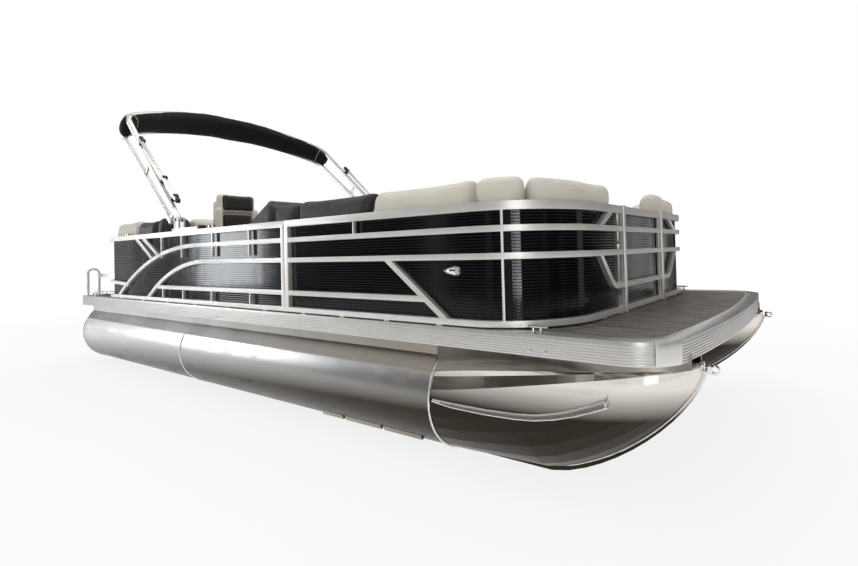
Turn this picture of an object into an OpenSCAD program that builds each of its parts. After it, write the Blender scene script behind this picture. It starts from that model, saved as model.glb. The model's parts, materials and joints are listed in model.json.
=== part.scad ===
// Pontoon boat: two sealed aluminium pontoons under a fenced deck, with lounges, a helm,
// three gates, a folding bimini top and an outboard motor that is parked tilted up.
// Stations run forward from the stern edge of the deck. Starboard is -Y, port is +Y.

/* [Deck] */
// Length of the deck, from the stern edge to the middle of the bow edge
deck_l = 6740; // [6300:10:8200]
// Width of the deck over the edge trim (the beam)
deck_w = 2590; // [2350:10:3000]
// Thickness of the deck board with its woven vinyl
board_t = 22; // [18:1:32]
// Height of the extruded edge trim
trim_h = 103; // [85:1:130]
// Thickness of the edge trim's wall
trim_t = 10; // [6:1:16]
// Width of the trim's lip on top of the deck
trim_lip_w = 90; // [60:1:110]
// Radius of the deck's bow corners, seen from above
deck_corner_r = 230; // [120:5:400]
// How far the bow edge bulges forward at the middle
bow_bulge = 95; // [0:5:160]

/* [Pontoons] */
// Diameter of each pontoon
pontoon_d = 635; // [560:5:700]
// Distance between the two pontoons' centre lines
pontoon_spacing = 1956; // [1800:2:2100]
// Length of the nose cone
nose_l = 1340; // [1100:10:1600]
// Height of the keel strip below the pontoon
keel_h = 25; // [15:1:40]
// Width of the keel strip
keel_w = 38; // [20:1:60]
// Width between the outer walls of a riser
riser_w = 450; // [380:5:500]
// Clear height from the top of the pontoon to the top of the riser
riser_rise = 28; // [20:1:60]
// Height of the deck's cross members
member_h = 47; // [40:1:80]
// Distance between cross members
member_pitch = 406; // [300:1:500]

/* [Fence] */
// Station of the stern fence
stern_fence_x = 787; // [600:5:1000]
// Station of the fence's bow face
bow_fence_x = 6147; // [5600:5:6250]
// Radius of the fence's bow corners, to the outer face
fence_corner_r = 500; // [350:5:650]
// Radius of the fence's stern corners, to the outer face
stern_corner_r = 80; // [60:5:160]
// Height from the deck to the top of the top rail
fence_h = 640; // [560:5:720]
// Size of the square rails
rail = 32; // [25:1:40]
// Height of the top rail
top_rail_h = 45; // [34:1:60]
// Thickness of the ribbed fence skin
skin_t = 4; // [3:1:8]
// Gap under the bottom rail, where spacer feet stand
foot_h = 9; // [5:1:25]
// Station of the joint between the starboard fence's two sections
section_joint_x = 4039; // [3900:1:4200]
// Width of the bow gate's opening
bow_gate_w = 732; // [640:4:900]
// Width of the side gate's opening
side_gate_w = 660; // [560:4:760]
// Width of the stern gate's opening
stern_gate_w = 600; // [520:4:680]

/* [Seats] */
// Height of a seat base above the deck
base_h = 330; // [280:5:400]
// Thickness of a seat cushion
seat_t = 100; // [70:5:140]
// Thickness of a backrest
back_t = 165; // [120:5:200]
// How far the bow lounges' backrests rise above the top rail
bow_back_rise = 146; // [100:2:200]
// How far the aft lounges' backrests rise above the top rail
aft_back_rise = 160; // [100:2:200]
// Depth of a lounge, from the fence to its inner edge
lounge_w = 610; // [560:5:660]
// Station of the captain's chair
chair_x = 2480; // [2440:5:2500]
// How far the chair and the helm lie to starboard
helm_y = 690; // [640:5:740]
// Diameter of the steering wheel
wheel_d = 330; // [280:5:380]

/* [Bimini top] */
// Station of the bimini's pivot
bimini_x = 2410; // [2200:5:2600]
// Angle of the folded top above the horizon
bimini_lean = 38; // [20:1:60]
// Distance from the pivot to the middle of the main bow
bimini_reach = 2160; // [1900:10:2300]
// Radius of the bow's long curve across the boat
bimini_crown_r = 2100; // [1700:50:2600]
// Radius of the bow's corners
bimini_corner_r = 220; // [150:10:300]
// Size of the bimini's square tubes
bimini_tube = 38; // [25:1:40]

/* [Outboard motor] */
// Angle at which the parked motor is tilted up
motor_tilt = 52; // [40:1:62]
// Diameter of the propeller
prop_d = 340; // [280:5:380]
// Length of the motor's leg, from the mount to the anti-ventilation plate
leg_l = 508; // [381:1:635]
// Width of the motor's cowling
cowl_w = 330; // [280:5:380]

/* [Hidden] */
$fn = 48;

half_w = deck_w / 2;
pontoon_r = pontoon_d / 2;
pontoon_y = pontoon_spacing / 2;
axis_z = keel_h + pontoon_r;
pontoon_top = axis_z + pontoon_r;
riser_top = pontoon_top + riser_rise;
board_z = riser_top + member_h;
deck_z = board_z + board_t;
lip_t = 3;
lip_z = deck_z + lip_t;
trim_z = lip_z - trim_h;

// fence levels
side_y = half_w - 10;
rail_bottom = lip_z + foot_h;
fence_top = deck_z + fence_h;
top_rail_z = fence_top - top_rail_h;
rail_1 = fence_top - 136;
rail_2 = fence_top - 274;
rail_3 = rail_bottom + 129;
gap = 8;
face_gap = 0.3;

silver = [0.78, 0.78, 0.76];
mill = [0.70, 0.69, 0.67];
black = [0.05, 0.05, 0.06];
beige = [0.80, 0.76, 0.68];
grey = [0.30, 0.30, 0.31];

// ---------- outlines ----------
function arc(cx, cy, r, a0, a1, n = 12) =
    [for (i = [0:n]) let (a = a0 + (a1 - a0) * i / n) [cx + r * cos(a), cy + r * sin(a)]];
function reversed(p) = [for (i = [len(p) - 1:-1:0]) p[i]];
function across(p) = [for (q = reversed(p)) [q[0], -q[1]]];

function bow_edge(y) = deck_l - bow_bulge * (y / half_w) * (y / half_w);
function deck_half(d) = let (r = deck_corner_r - d, s = 40 - min(d, 30))
    concat(arc(d + s, -half_w + d + s, s, 180, 270, 6),
        arc(bow_edge(half_w - deck_corner_r) - deck_corner_r, -half_w + d + r, r, 270, 352, 14),
        [for (i = [0:8]) let (y = -(half_w - deck_corner_r - 20) * (1 - i / 8)) [bow_edge(y) - d, y]]);
function deck_outline(d) = let (h = deck_half(d)) concat(h, across([for (i = [0:len(h) - 2]) h[i]]));

// the fence's outer face on the starboard side, moved inward by d
function bow_path(d, x0, y1) = concat([[x0, -side_y + d]],
    arc(bow_fence_x - fence_corner_r, -side_y + fence_corner_r, fence_corner_r - d, -90, 0, 16),
    [[bow_fence_x - d, y1]]);
function stern_path(d, x1, y0) = let (r = max(stern_corner_r - d, 6))
    concat([[stern_fence_x + d, y0]], arc(stern_fence_x + d + r, -side_y + d + r, r, 180, 270, 8),
        [[x1, -side_y + d]]);
function band(outer, inner) = concat(outer, reversed(inner));

module port_side() mirror([0, 1, 0]) children();

// A bar in the starboard side's plane, from one point to another. Slanted and curved bars are set
// back by ease on each face, as a mitred tube is, and straight ones run into them by lap.
ease = 0.5;
lap = 3;
module side_bar(a, b, w = rail) {
    d = b - a;
    back = a[1] == b[1] ? 0 : 2 * ease;
    translate([a[0], -side_y + back, a[1]]) rotate([0, -atan2(d[1], d[0]), 0])
        translate([0, 0, -w / 2]) cube([norm(d), rail - 2 * back, w]);
}
module side_arch(c, r, a0, a1)
    translate([c[0], -side_y + rail - ease, c[1]]) rotate([90, 0, 0]) rotate([0, 0, a0])
        rotate_extrude(angle = a1 - a0, $fn = 96)
            translate([r - rail / 2, 0]) square([rail, rail - 2 * ease]);
module corner(c, r, z, h, depth, a0)
    translate([c[0], c[1], z]) rotate([0, 0, a0])
        rotate_extrude(angle = 90, $fn = 96) translate([r - depth, 0]) square([depth, h]);

// ---------- pontoons ----------
module pontoon() color(mill) {
    translate([pontoon_x0, -pontoon_y, axis_z]) rotate([0, 90, 0])
        cylinder(r = pontoon_r, h = nose_x - pontoon_x0, $fn = 96);
    translate([pontoon_x0 + 30, -pontoon_y - keel_w / 2, 0]) cube([nose_x - pontoon_x0 - 30, keel_w, keel_h + 8]);
}
pontoon_x0 = 50;
nose_x = deck_l - 25 - nose_l;

// Nose cone: sections that start round and end as a narrow upright stem.
nose_n = 18;
nose_m = 28;
stem_w = 9;
stem_top = 22;
nose_rise = pontoon_d - 60;
nose_lift = 0.58 * nose_l;
tip_x = nose_x + nose_l;
function stem_rise(x) = let (u = max(0, (x - nose_l + nose_lift) / nose_lift))
    nose_rise * (1 - pow(max(0, 1 - pow(u, 1.5)), 0.7));
function nose_half_w(t) = stem_w + (pontoon_r - stem_w) * sqrt(max(0, 1 - pow(t, 2.6)));
function nose_section(t) =
    let (x = nose_x + nose_l * t, low = keel_h + stem_rise(nose_l * t), top = pontoon_top - stem_top * t,
        mid = axis_z + (top - 30 - axis_z) * pow(t, 1.5), w = nose_half_w(t),
        up_n = 2 + 2.2 * t, low_n = 2 - 0.75 * t)
    [for (i = [0:nose_m - 1])
        let (a = 360 * i / nose_m, c = cos(a), s = sin(a), n = s >= 0 ? up_n : low_n,
            h = s >= 0 ? top - mid : mid - low)
        [x, -pontoon_y + w * sign(c) * pow(abs(c), 2 / n), mid + h * sign(s) * pow(abs(s), 2 / n)]];
function nose_t(k) = 1 - pow(1 - k / nose_n, 1.7);
module nose_cone() color(mill) {
    rings = [for (k = [0:nose_n]) nose_section(nose_t(k))];
    points = [for (r = rings) for (p = r) p];
    sides = [for (k = [0:nose_n - 1]) for (i = [0:nose_m - 1]) let (j = (i + 1) % nose_m)
        [k * nose_m + i, (k + 1) * nose_m + i, (k + 1) * nose_m + j, k * nose_m + j]];
    polyhedron(points, concat([[for (i = [0:nose_m - 1]) i]], sides,
        [[for (i = [nose_m - 1:-1:0]) nose_n * nose_m + i]]));
    // keel bar that follows the stem, deep under the cone and shallow in front of the tip
    stem = [for (k = [0:nose_n]) let (x = nose_l * nose_t(k)) [x, stem_rise(x), stem_rise(x) / nose_rise]];
    translate([nose_x, -pontoon_y + keel_w / 4, keel_h]) rotate([90, 0, 0]) linear_extrude(keel_w / 2)
        polygon(concat([for (p = stem) [p[0] - 4 * p[2], p[1] + 4 * (1 - p[2])]],
            reversed([for (p = stem) [p[0] + bar_nose * p[2], p[1] - keel_h * (1 - p[2])]])));
}
bar_nose = 12;
module bow_eye() color(silver) difference() {
    union() {
        translate([tip_x + bar_nose + face_gap, -pontoon_y - 5, eye_z - 22]) cube([28, 10, 44]);
        translate([tip_x + 42, -pontoon_y + 5, eye_z]) rotate([90, 0, 0]) cylinder(r = 22, h = 10);
    }
    translate([tip_x + 42, -pontoon_y + 6, eye_z]) rotate([90, 0, 0]) cylinder(r = 11, h = 12);
}
eye_z = keel_h + nose_rise + 8;

riser_z = axis_z + 150;
riser_wall = 6;
module riser() color(mill) {
    inner = riser_w / 2 - riser_wall;
    difference() {
        translate([60, -pontoon_y - riser_w / 2, riser_z])
            cube([nose_x - 60, riser_w, riser_top - riser_z]);
        translate([50, -pontoon_y - inner, riser_z - 50])
            cube([nose_x, 2 * inner, riser_top - riser_wall - riser_z + 50]);
        translate([50, -pontoon_y, axis_z]) rotate([0, 90, 0])
            cylinder(r = pontoon_r + face_gap, h = nose_x, $fn = 96);
    }
    // saddle on the nose cone, its underside parallel to the cone's ridge
    saddle = 0.68 * nose_l;
    translate([0, -pontoon_y + 70, 0]) rotate([90, 0, 0]) linear_extrude(140)
        polygon([[nose_x, pontoon_top + face_gap], [nose_x + saddle, pontoon_top + face_gap - stem_top * 0.68],
            [nose_x + saddle, riser_top], [nose_x, riser_top]]);
}

module cross_members() color(mill)
    for (i = [0:member_count - 1]) translate([180 + i * member_pitch, -half_w + trim_t + 6, riser_top])
        difference() {
            cube([40, deck_w - 2 * trim_t - 12, member_h]);
            translate([5, -1, 5]) cube([40, deck_w, member_h - 10]);
        }
member_count = floor((deck_l - bow_bulge - deck_corner_r - 180) / member_pitch) + 1;

module deck_board() color([0.36, 0.35, 0.34])
    translate([0, 0, board_z]) linear_extrude(board_t) polygon(deck_outline(trim_t + 0.5));
module deck_trim() color(silver) difference() {
    translate([0, 0, trim_z]) linear_extrude(trim_h) polygon(deck_outline(0));
    translate([0, 0, trim_z - 1]) linear_extrude(trim_h - lip_t + 1) polygon(deck_outline(trim_t));
    translate([0, 0, deck_z - 1]) linear_extrude(lip_t + 2) polygon(deck_outline(trim_lip_w));
}

// ---------- fence ----------
module straight_rails(x0, x1) {
    translate([x0, -side_y, rail_bottom]) cube([x1 - x0, rail, rail]);
    translate([x0, -side_y, top_rail_z]) cube([x1 - x0, rail, top_rail_h]);
}
module side_post(x, w = 40) translate([x, -side_y, rail_bottom]) cube([w, rail, fence_top - rail_bottom]);
module feet(x0, x1, n) for (i = [0:n - 1])
    translate([x0 + (x1 - x0) * (i + 0.5) / n - 20, -side_y + 3, lip_z]) cube([40, rail - 3, foot_h]);
bow_arc_c = [bow_fence_x - fence_corner_r, -side_y + fence_corner_r];
stern_arc_c = [stern_fence_x + stern_corner_r, -side_y + stern_corner_r];
gate_y = bow_gate_w / 2;

brace_z = rail_3 + 30;
bend_r = 90;
stile = 20;
bow_rails = [[rail_bottom, rail], [rail_1 - rail / 2, rail], [rail_2 - rail / 2, rail],
    [top_rail_z, top_rail_h]];
module bow_corner_rails() {
    for (l = bow_rails) {
        corner(bow_arc_c, fence_corner_r, l[0], l[1], rail, -90);
        translate([bow_fence_x - rail, bow_arc_c[1], l[0]]) cube([rail, -gate_y - 2 - bow_arc_c[1], l[1]]);
    }
    translate([bow_fence_x - 4, -gate_y - 10, lip_z]) cylinder(r = 13, h = fence_top + 6 - lip_z);
    translate([bow_fence_x - rail, -gate_y - 2 - stile, rail_bottom])
        cube([stile, stile, fence_top - rail_bottom]);
    // brace under the top rail, and the bent tube that drops from the second rail to the gate
    front_bar([-740, rail_1], [-563, top_rail_z + 10]);
    drop = rail_2 - brace_z - bend_r * (1 - cos(45));
    bend_y = -740 + drop + bend_r * sin(45);
    front_bar([-740, rail_2], [-740 + drop, rail_2 - drop]);
    front_bar([bend_y - lap, brace_z], [-gate_y - 2, brace_z]);
    translate([bow_fence_x - ease, bend_y, brace_z + bend_r]) rotate([0, -90, 0]) rotate([0, 0, 180])
        rotate_extrude(angle = 46, $fn = 96)
            translate([bend_r - rail / 2, 0]) square([rail, rail - 2 * ease]);
    for (y = [-700, -450]) translate([bow_fence_x - rail, y - 20, lip_z]) cube([rail - 3, 40, foot_h]);
}
// a bar in the bow fence's plane, from [y, z] to [y, z]
module front_bar(a, b) {
    d = b - a;
    back = a[1] == b[1] ? 0 : 2 * ease;
    size = rail - 2 * back;
    translate([bow_fence_x - rail + back, a[0], a[1]]) rotate([atan2(d[1], d[0]), 0, 0])
        translate([0, 0, -size / 2]) cube([size, norm(d), size]);
}
stern_rails = [[rail_bottom, rail], [rail_3 + 20, rail], [top_rail_z, top_rail_h]];
module stern_corner_rails(y_end) for (l = stern_rails) {
    corner(stern_arc_c, stern_corner_r, l[0], l[1], rail, 180);
    translate([stern_fence_x, stern_arc_c[1], l[0]]) cube([rail, y_end - stern_arc_c[1], l[1]]);
}
module stern_post(y) translate([stern_fence_x, y - rail, rail_bottom])
    cube([rail, rail, fence_top - rail_bottom]);

arch_1 = [2702, 3092];
arch_2 = [2879, 1995];
side_end = stern_fence_x + stern_corner_r;
strip_w = 12;
// a rail that curves down from its level to the bottom rail
module falling_rail(a, level) side_arch([a[0], level - a[1]], a[1], 90,
    90 + acos((rail_bottom + rail / 2 - level + a[1]) / a[1]));
// rails from the stern gate forward to a station
module aft_run(x1, y_end) {
    straight_rails(side_end, x1);
    side_post(x1 - 40);
    stern_corner_rails(y_end);
    stern_post(y_end);
    side_bar([arch_1[0] - lap, rail_1], [x1, rail_1]);
    side_bar([arch_2[0] - lap, rail_2], [x1, rail_2]);
    side_bar([1990, rail_3], [x1, rail_3]);
    falling_rail(arch_1, rail_1);
    falling_rail(arch_2, rail_2);
    side_bar([1520, top_rail_z + 10], [1890, rail_1 - 110]);
    side_bar([1670, top_rail_z + 10], [2010, rail_1 - 75]);
}
module starboard_aft_fence_frame() color(silver) {
    x1 = section_joint_x - 2;
    aft_run(x1, -stern_gate_y1);
    side_bar([side_end, rail_3 + 36], [1310, rail_3 + 10]);
    for (x = [2078, 2478, 3019, 3572]) translate([x, -side_y, rail_1 - 100])
        cube([strip_w, 20, top_rail_z - rail_1 + 101]);
    for (x = [2095, 2492, 2995, 3577]) translate([x, -side_y, rail_bottom + 1])
        cube([strip_w, 20, rail_3 - rail_bottom]);
    feet(side_end, x1, 6);
}
module starboard_bow_fence_frame() color(silver) {
    x0 = section_joint_x + 2;
    at_bow_gate() post_knuckles();
    side_run(x0);
    side_bar([x0, rail_3], [5349, rail_3]);
    side_bar([5046, rail_2], [5507, rail_bottom + rail / 2]);
    translate([4766, -side_y, rail_1]) cube([strip_w, 20, top_rail_z - rail_1 + 1]);
}
// an upright strip on the bow corner
module corner_strip() translate([bow_arc_c[0], bow_arc_c[1], rail_bottom + 2]) rotate([0, 0, -67])
    translate([fence_corner_r - 22, -strip_w / 2, 0]) cube([20, strip_w, fence_top - rail_bottom - 4]);
// rails from a station forward to the bow gate
module side_run(x0) {
    straight_rails(x0, bow_arc_c[0]);
    side_post(x0);
    side_bar([x0, rail_1], [bow_arc_c[0], rail_1]);
    side_bar([x0, rail_2], [bow_arc_c[0], rail_2]);
    bow_corner_rails();
    corner_strip();
    feet(x0, bow_arc_c[0], 4);
}
module port_aft_fence_frame() color(silver) {
    port_side() {
        aft_run(side_gate_x0, -stern_gate_y0);
        feet(side_end, side_gate_x0, 5);
    }
    at_stern_gate() post_knuckles();
}
module port_bow_fence_frame() color(silver) {
    port_side() {
        side_run(side_gate_x1);
        side_bar([side_gate_x1, rail_3], [5349, rail_3]);
        side_bar([5046, rail_2], [5507, rail_bottom + rail / 2]);
    }
    at_side_gate() post_knuckles();
}
skin_z = rail_bottom + 4;
skin_h = fence_top - 4 - skin_z;
roll_r = 55;
skin_back = 12;
skin_gap = rail + face_gap;
// bow skin that rolls inboard beside the gate post, moved inward by d
function rolled_bow(d, x0) = concat(bow_path(d, x0, -gate_y - 8 - roll_r),
    arc(bow_fence_x - skin_gap - roll_r, -gate_y - 8 - roll_r, roll_r - d + skin_gap, 10, 90, 7));
module skin(outline) translate([0, 0, skin_z]) linear_extrude(skin_h) polygon(outline);
module bow_skin(x0) skin(band(rolled_bow(skin_gap, x0), rolled_bow(skin_gap + skin_t, x0)));
module stern_skin(x1, y0) skin(band(stern_path(skin_gap, x1, y0), stern_path(skin_gap + skin_t, x1, y0)));
module fence_skins() color(black) {
    stern_skin(section_joint_x - 2, -stern_gate_y1 - skin_back);
    bow_skin(section_joint_x + 2);
    port_side() {
        stern_skin(side_gate_x0 - skin_back, -stern_gate_y0 - skin_back);
        bow_skin(side_gate_x1 + skin_back);
    }
}

// ---------- gates ----------
// A gate lies along +X from its hinge axis, with its outer face towards -Y.
side_gate_x0 = 3290;
side_gate_x1 = side_gate_x0 + side_gate_w;
stern_gate_y0 = 270;
stern_gate_y1 = stern_gate_w - stern_gate_y0;
hinge_in = 15;
knuckle_r = 7;
knuckle_h = 30;
knuckle_z = [rail_bottom + 90, top_rail_z - 100];
module gate_frame(w) color(silver) {
    l = w - 2 * gap;
    translate([gap / 2, -hinge_in - rail, 0]) {
        for (z = [rail_bottom, rail_1 - rail / 2, rail_2 - rail / 2, brace_z - rail / 2])
            translate([0, 0, z]) cube([l, rail, rail]);
        translate([0, 0, top_rail_z]) cube([l, rail, top_rail_h]);
        for (x = [0, l - stile]) translate([x, rail - stile, rail_bottom])
            cube([stile, stile, fence_top - rail_bottom]);
    }
    for (z = knuckle_z) translate([0, 0, z + knuckle_h + face_gap]) {
        cylinder(r = knuckle_r, h = knuckle_h);
        translate([0, -hinge_in - 3, 0]) cube([5 + gap / 2, hinge_in + 3, knuckle_h]);
    }
}
// its skin rolls inboard at the latch end only, so that the hinge end can swing
function gate_curve(w, d) = let (r = 45, x1 = w - 2 * gap - 8)
    concat([[14, d]], arc(x1 - r, r, r - d, -90, -10, 7));
module gate_skin(w) color(black) translate([gap / 2, -hinge_in + face_gap, skin_z]) linear_extrude(skin_h)
    polygon(band(gate_curve(w, 0), gate_curve(w, skin_t)));
module post_knuckles() color(silver) for (z = knuckle_z) translate([0, 0, z]) {
    cylinder(r = knuckle_r, h = knuckle_h);
    translate([-5 - gap / 2, -hinge_in - 3, 0]) cube([5 + gap / 2, hinge_in + 3, knuckle_h]);
}
module at_bow_gate() translate([bow_fence_x - rail - hinge_in, -gate_y + gap / 2, 0])
    rotate([0, 0, 90]) children();
module at_stern_gate() translate([stern_fence_x + rail + hinge_in, stern_gate_y0 - gap / 2, 0])
    rotate([0, 0, -90]) children();
module at_side_gate() translate([side_gate_x1 - gap / 2, side_y - rail - hinge_in, 0])
    rotate([0, 0, 180]) children();

// ---------- lounges ----------
seat_z = deck_z + base_h;
back_z = seat_z + seat_t + face_gap;
clear = 10;
bow_back_top = fence_top + bow_back_rise;
aft_back_top = fence_top + aft_back_rise;
bow_lounge_x = 3640;
port_bow_x = side_gate_x1 + 40;
aft_lounge_x = 2000;
port_aft_x = 2120;
inner_y = side_y - lounge_w;
wall_in = rail + skin_t + clear;
// plans are drawn d inside the cushion's own edge at the fence
module bow_seat_plan(x0, d = 0) polygon(concat(bow_path(wall_in + d, x0, -460 - d),
    [[bow_fence_x - wall_in - 230, -460 - d], [bow_fence_x - wall_in - 440, -inner_y - d / 3],
        [x0, -inner_y - d / 3]]));
module bow_seat(x0) color(beige) translate([0, 0, seat_z]) linear_extrude(seat_t) bow_seat_plan(x0);
module bow_backrest(x0) color(beige) {
    x1 = x0 + back_t + 2;
    translate([0, 0, back_z]) linear_extrude(bow_back_top - back_z)
        polygon(band(bow_path(wall_in, x1, -430), bow_path(wall_in + back_t, x1, -430)));
    translate([x0, -side_y + wall_in, back_z])
        cube([back_t, lounge_w - wall_in, bow_back_top + 20 - back_z]);
}
module starboard_aft_seat_plan(d = 0) polygon(concat(stern_path(wall_in + d, aft_lounge_x - d, -inner_y - d / 3),
    [[aft_lounge_x - d, -inner_y - d / 3]]));
aft_gate_y = stern_gate_y0 + 40;
module port_aft_seat_plan(d = 0) {
    x0 = stern_fence_x + wall_in + 560 - d / 3;
    polygon(concat([[x0, -aft_gate_y - d]], stern_path(wall_in + d, port_aft_x - d, -aft_gate_y - d),
        [[port_aft_x - d, -inner_y - d / 3], [x0, -inner_y - d / 3]]));
}
toe_in = 50;
module base() translate([0, 0, deck_z]) linear_extrude(base_h) children();
module lounge_bases() color([0.62, 0.60, 0.56]) {
    base() bow_seat_plan(bow_lounge_x, toe_in);
    base() starboard_aft_seat_plan(toe_in);
    port_side() {
        base() bow_seat_plan(port_bow_x, toe_in);
        base() port_aft_seat_plan(toe_in);
    }
}
module seat() color(beige) translate([0, 0, seat_z]) linear_extrude(seat_t) children();
function aft_inner(x1, y0) = [for (p = stern_path(wall_in + back_t, x1, y0))
    [max(p[0], stern_fence_x + wall_in + back_t), max(p[1], -side_y + wall_in + back_t)]];
module aft_backrest(x1, y0) color(beige) translate([0, 0, back_z]) linear_extrude(aft_back_top - back_z)
    polygon(band(stern_path(wall_in, x1, y0), aft_inner(x1, y0)));
module starboard_aft_backrest() {
    aft_backrest(aft_lounge_x - back_t - 2, -inner_y);
    color(beige) translate([aft_lounge_x - back_t, -side_y + wall_in, back_z])
        cube([back_t, lounge_w - wall_in, aft_back_top - back_z]);
}

// ---------- helm ----------
wheel_tilt = 25;
console_x = 3160;
wheel_c = [console_x - 100, -helm_y, deck_z + 643];
console_end = bow_lounge_x - 20;
console_w = 610;
console_y0 = -helm_y - 310;
module at_wheel() translate(wheel_c) rotate([0, 90 + wheel_tilt, 0]) children();
module helm_console() color(grey) {
    translate([0, console_y0 + console_w, deck_z]) rotate([90, 0, 0]) linear_extrude(console_w)
        polygon([[console_x + 30, 0], [console_end, 0], [console_end, 743], [console_x + 400, 773],
            [console_x + 370, 843], [console_x + 300, 855], [console_x, 693], [console_x, 493]]);
    at_wheel() translate([0, 0, 24 + face_gap]) cylinder(r = 22, h = 110);
}
module steering_wheel() color([0.08, 0.08, 0.08]) at_wheel() {
    rotate_extrude($fn = 64) translate([wheel_d / 2 - 14, 0]) circle(r = 14, $fn = 24);
    cylinder(r = 40, h = 24);
    for (a = [0, 110, 250]) rotate([0, 0, a]) translate([0, -12, 4]) cube([wheel_d / 2 - 14, 24, 8]);
}
chair_c = [chair_x, -helm_y];
chair_seat_z = deck_z + 333;
chair_back_h = 560;
module chair_pedestal() color(mill) translate([chair_c[0], chair_c[1], 0]) {
    translate([0, 0, deck_z]) cylinder(r = 150, h = 12);
    translate([0, 0, deck_z]) cylinder(r = 38, h = chair_seat_z - deck_z);
}
module chair_seat() color(beige) translate([chair_c[0], chair_c[1], chair_seat_z + face_gap]) {
    translate([0, 0, 0]) cylinder(r = 90, h = 20);
    translate([-230, -240, 18]) cube([460, 480, 120]);
    for (s = [-1, 1]) translate([-160, s * 265 - 25, 18]) cube([300, 50, 270]);
}
module chair_back() color(beige) translate([chair_c[0], chair_c[1], chair_seat_z + face_gap])
    translate([-290, -235, 138 + face_gap]) cube([150, 470, chair_back_h]);

// ---------- bimini ----------
bimini_z = fence_top + 100;
bimini_y = side_y - rail / 2 - 3;
rear_drop = 105;
pin_r = 6;
// the bow's plane: X runs aft along the legs, Y across the boat, Z is the plane's upper side
module leaned(extra = 0) translate([bimini_x, 0, bimini_z]) rotate([0, bimini_lean + extra, 0])
    rotate([0, 0, 180]) children();
bow_top_y = bimini_y - 64;
corner_y = bow_top_y - bimini_corner_r;
bow_phi = asin(corner_y / (bimini_crown_r - bimini_corner_r));
function crown_x(reach) = reach - bimini_crown_r;
function corner_x(reach) = crown_x(reach) + (bimini_crown_r - bimini_corner_r) * cos(bow_phi);
// how far each leg leans inboard
leg_in = atan((bimini_y - bow_top_y) / corner_x(bimini_reach));
// a bow's long curve and its two corners, swept from a section centred on the tube
module bow_arcs(reach) {
    translate([crown_x(reach), 0, 0]) rotate([0, 0, -bow_phi])
        rotate_extrude(angle = 2 * bow_phi, $fn = 160) translate([bimini_crown_r, 0]) children();
    for (side = [0, 1]) mirror([0, side, 0])
        translate([corner_x(reach), corner_y, 0]) rotate([0, 0, bow_phi])
            rotate_extrude(angle = 90 - leg_in - bow_phi, $fn = 96)
                translate([bimini_corner_r, 0]) children();
}
function leg_end(reach) = [corner_x(reach), corner_y] + bimini_corner_r * [sin(leg_in), cos(leg_in)];
module plane_bar(a, b, t) {
    d = b - a;
    translate([a[0], a[1], 0]) rotate([0, 0, atan2(d[1], d[0])])
        translate([0, -t / 2, -t / 2]) cube([norm(d), t, t]);
}
module both_sides() {
    children();
    mirror([0, 1, 0]) children();
}
function leg_y(x, reach) = leg_end(reach)[1] + (leg_end(reach)[0] - x) * tan(leg_in);
module bow(reach, start) {
    bow_arcs(reach) square(bimini_tube, center = true);
    both_sides() plane_bar([start, leg_y(start, reach)], leg_end(reach) + [lap, 0], bimini_tube - 2 * ease);
}
rear_reach = bimini_reach - 40;
module bimini_bows() color(silver) {
    leaned(3) {
        bow(bimini_reach, 14);
        both_sides() translate([0, leg_y(0, bimini_reach), 0]) rotate([90, 0, 0]) {
            translate([0, 0, -plate_y - 3.5]) cylinder(r = pin_r, h = 2 * plate_y + 7);
            translate([0, 0, -12]) cylinder(r = 17, h = 24);
        }
    }
    leaned() {
        translate([0, 0, -rear_drop]) bow(rear_reach, 110);
        // brackets that carry the rear bow on the main one
        both_sides() for (x = [130, 900])
            translate([x, leg_y(x, rear_reach) - 8, -rear_drop]) cube([34, 16, rear_drop + x * sin(3)]);
    }
}
plate_y = bimini_tube / 2 + 5.5;
module bimini_mounts() color(silver) for (s = [-1, 1]) translate([0, s * leg_y(0, bimini_reach), 0]) {
    translate([bimini_x - 80, -bimini_tube / 2 - 9, fence_top]) cube([480, bimini_tube + 18, 22]);
    for (side = [-1, 1]) difference() {
        translate([bimini_x - 40, side * plate_y - 3, fence_top + 10])
            cube([90, 6, bimini_z - fence_top + 8]);
        translate([bimini_x, side * plate_y - 4, bimini_z]) rotate([-90, 0, 0])
            cylinder(r = pin_r + face_gap, h = 8);
    }
}
module bimini_struts() color(silver) leaned(3) both_sides()
    translate([210, leg_y(700, bimini_reach) - 12, bimini_tube / 2 + 34]) {
        cube([1030, 24, 24]);
        for (x = [40, 960]) translate([x, 4, -34 + face_gap]) cube([24, 16, 34]);
    }
// The boot is a hollow sleeve over both bows.
boot_w = 100;
boot_h = 158;
boot_hollow = [94, 257.6];
function oval(w, h, e = 2 / 2.8, n = 24) = [for (i = [0:n - 1]) let (a = 360 * (i + 0.5) / n)
    [w * sign(cos(a)) * pow(abs(cos(a)), e), h * sign(sin(a)) * pow(abs(sin(a)), e)]];
module bimini_boot() color(black) leaned(1.5) translate([0, 0, -rear_drop / 2]) bow_arcs(bimini_reach - 20)
    difference() {
        polygon(oval(boot_w, boot_h));
        square(boot_hollow, center = true);
    }

// ---------- deck fittings ----------
ladder_y = -960;
ladder_w = 340;
ladder_l = 660;
ladder_hinge = [-22, lip_z + 28];
module boarding_ladder() color(silver) translate([ladder_hinge[0], ladder_y, ladder_hinge[1]]) {
    for (s = [-1, 1]) {
        translate([0, s * ladder_w / 2 - 12.5, -12.5]) cube([ladder_l, 25, 25]);
        translate([0, s * ladder_w / 2 + 16, 0]) rotate([90, 0, 0]) cylinder(r = 12.5, h = 32);
        translate([0, s * (ladder_w / 2 + 15) + 14, 0]) rotate([90, 0, 0]) cylinder(r = 5.7, h = 28);
    }
    for (i = [0:2]) translate([170 + i * 210, -ladder_w / 2, -8]) cube([65, ladder_w, 16]);
}
loop_h = 300;
loop_x = 110;
loop_y = [-1215, -690];
loop_half = 51;
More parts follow.
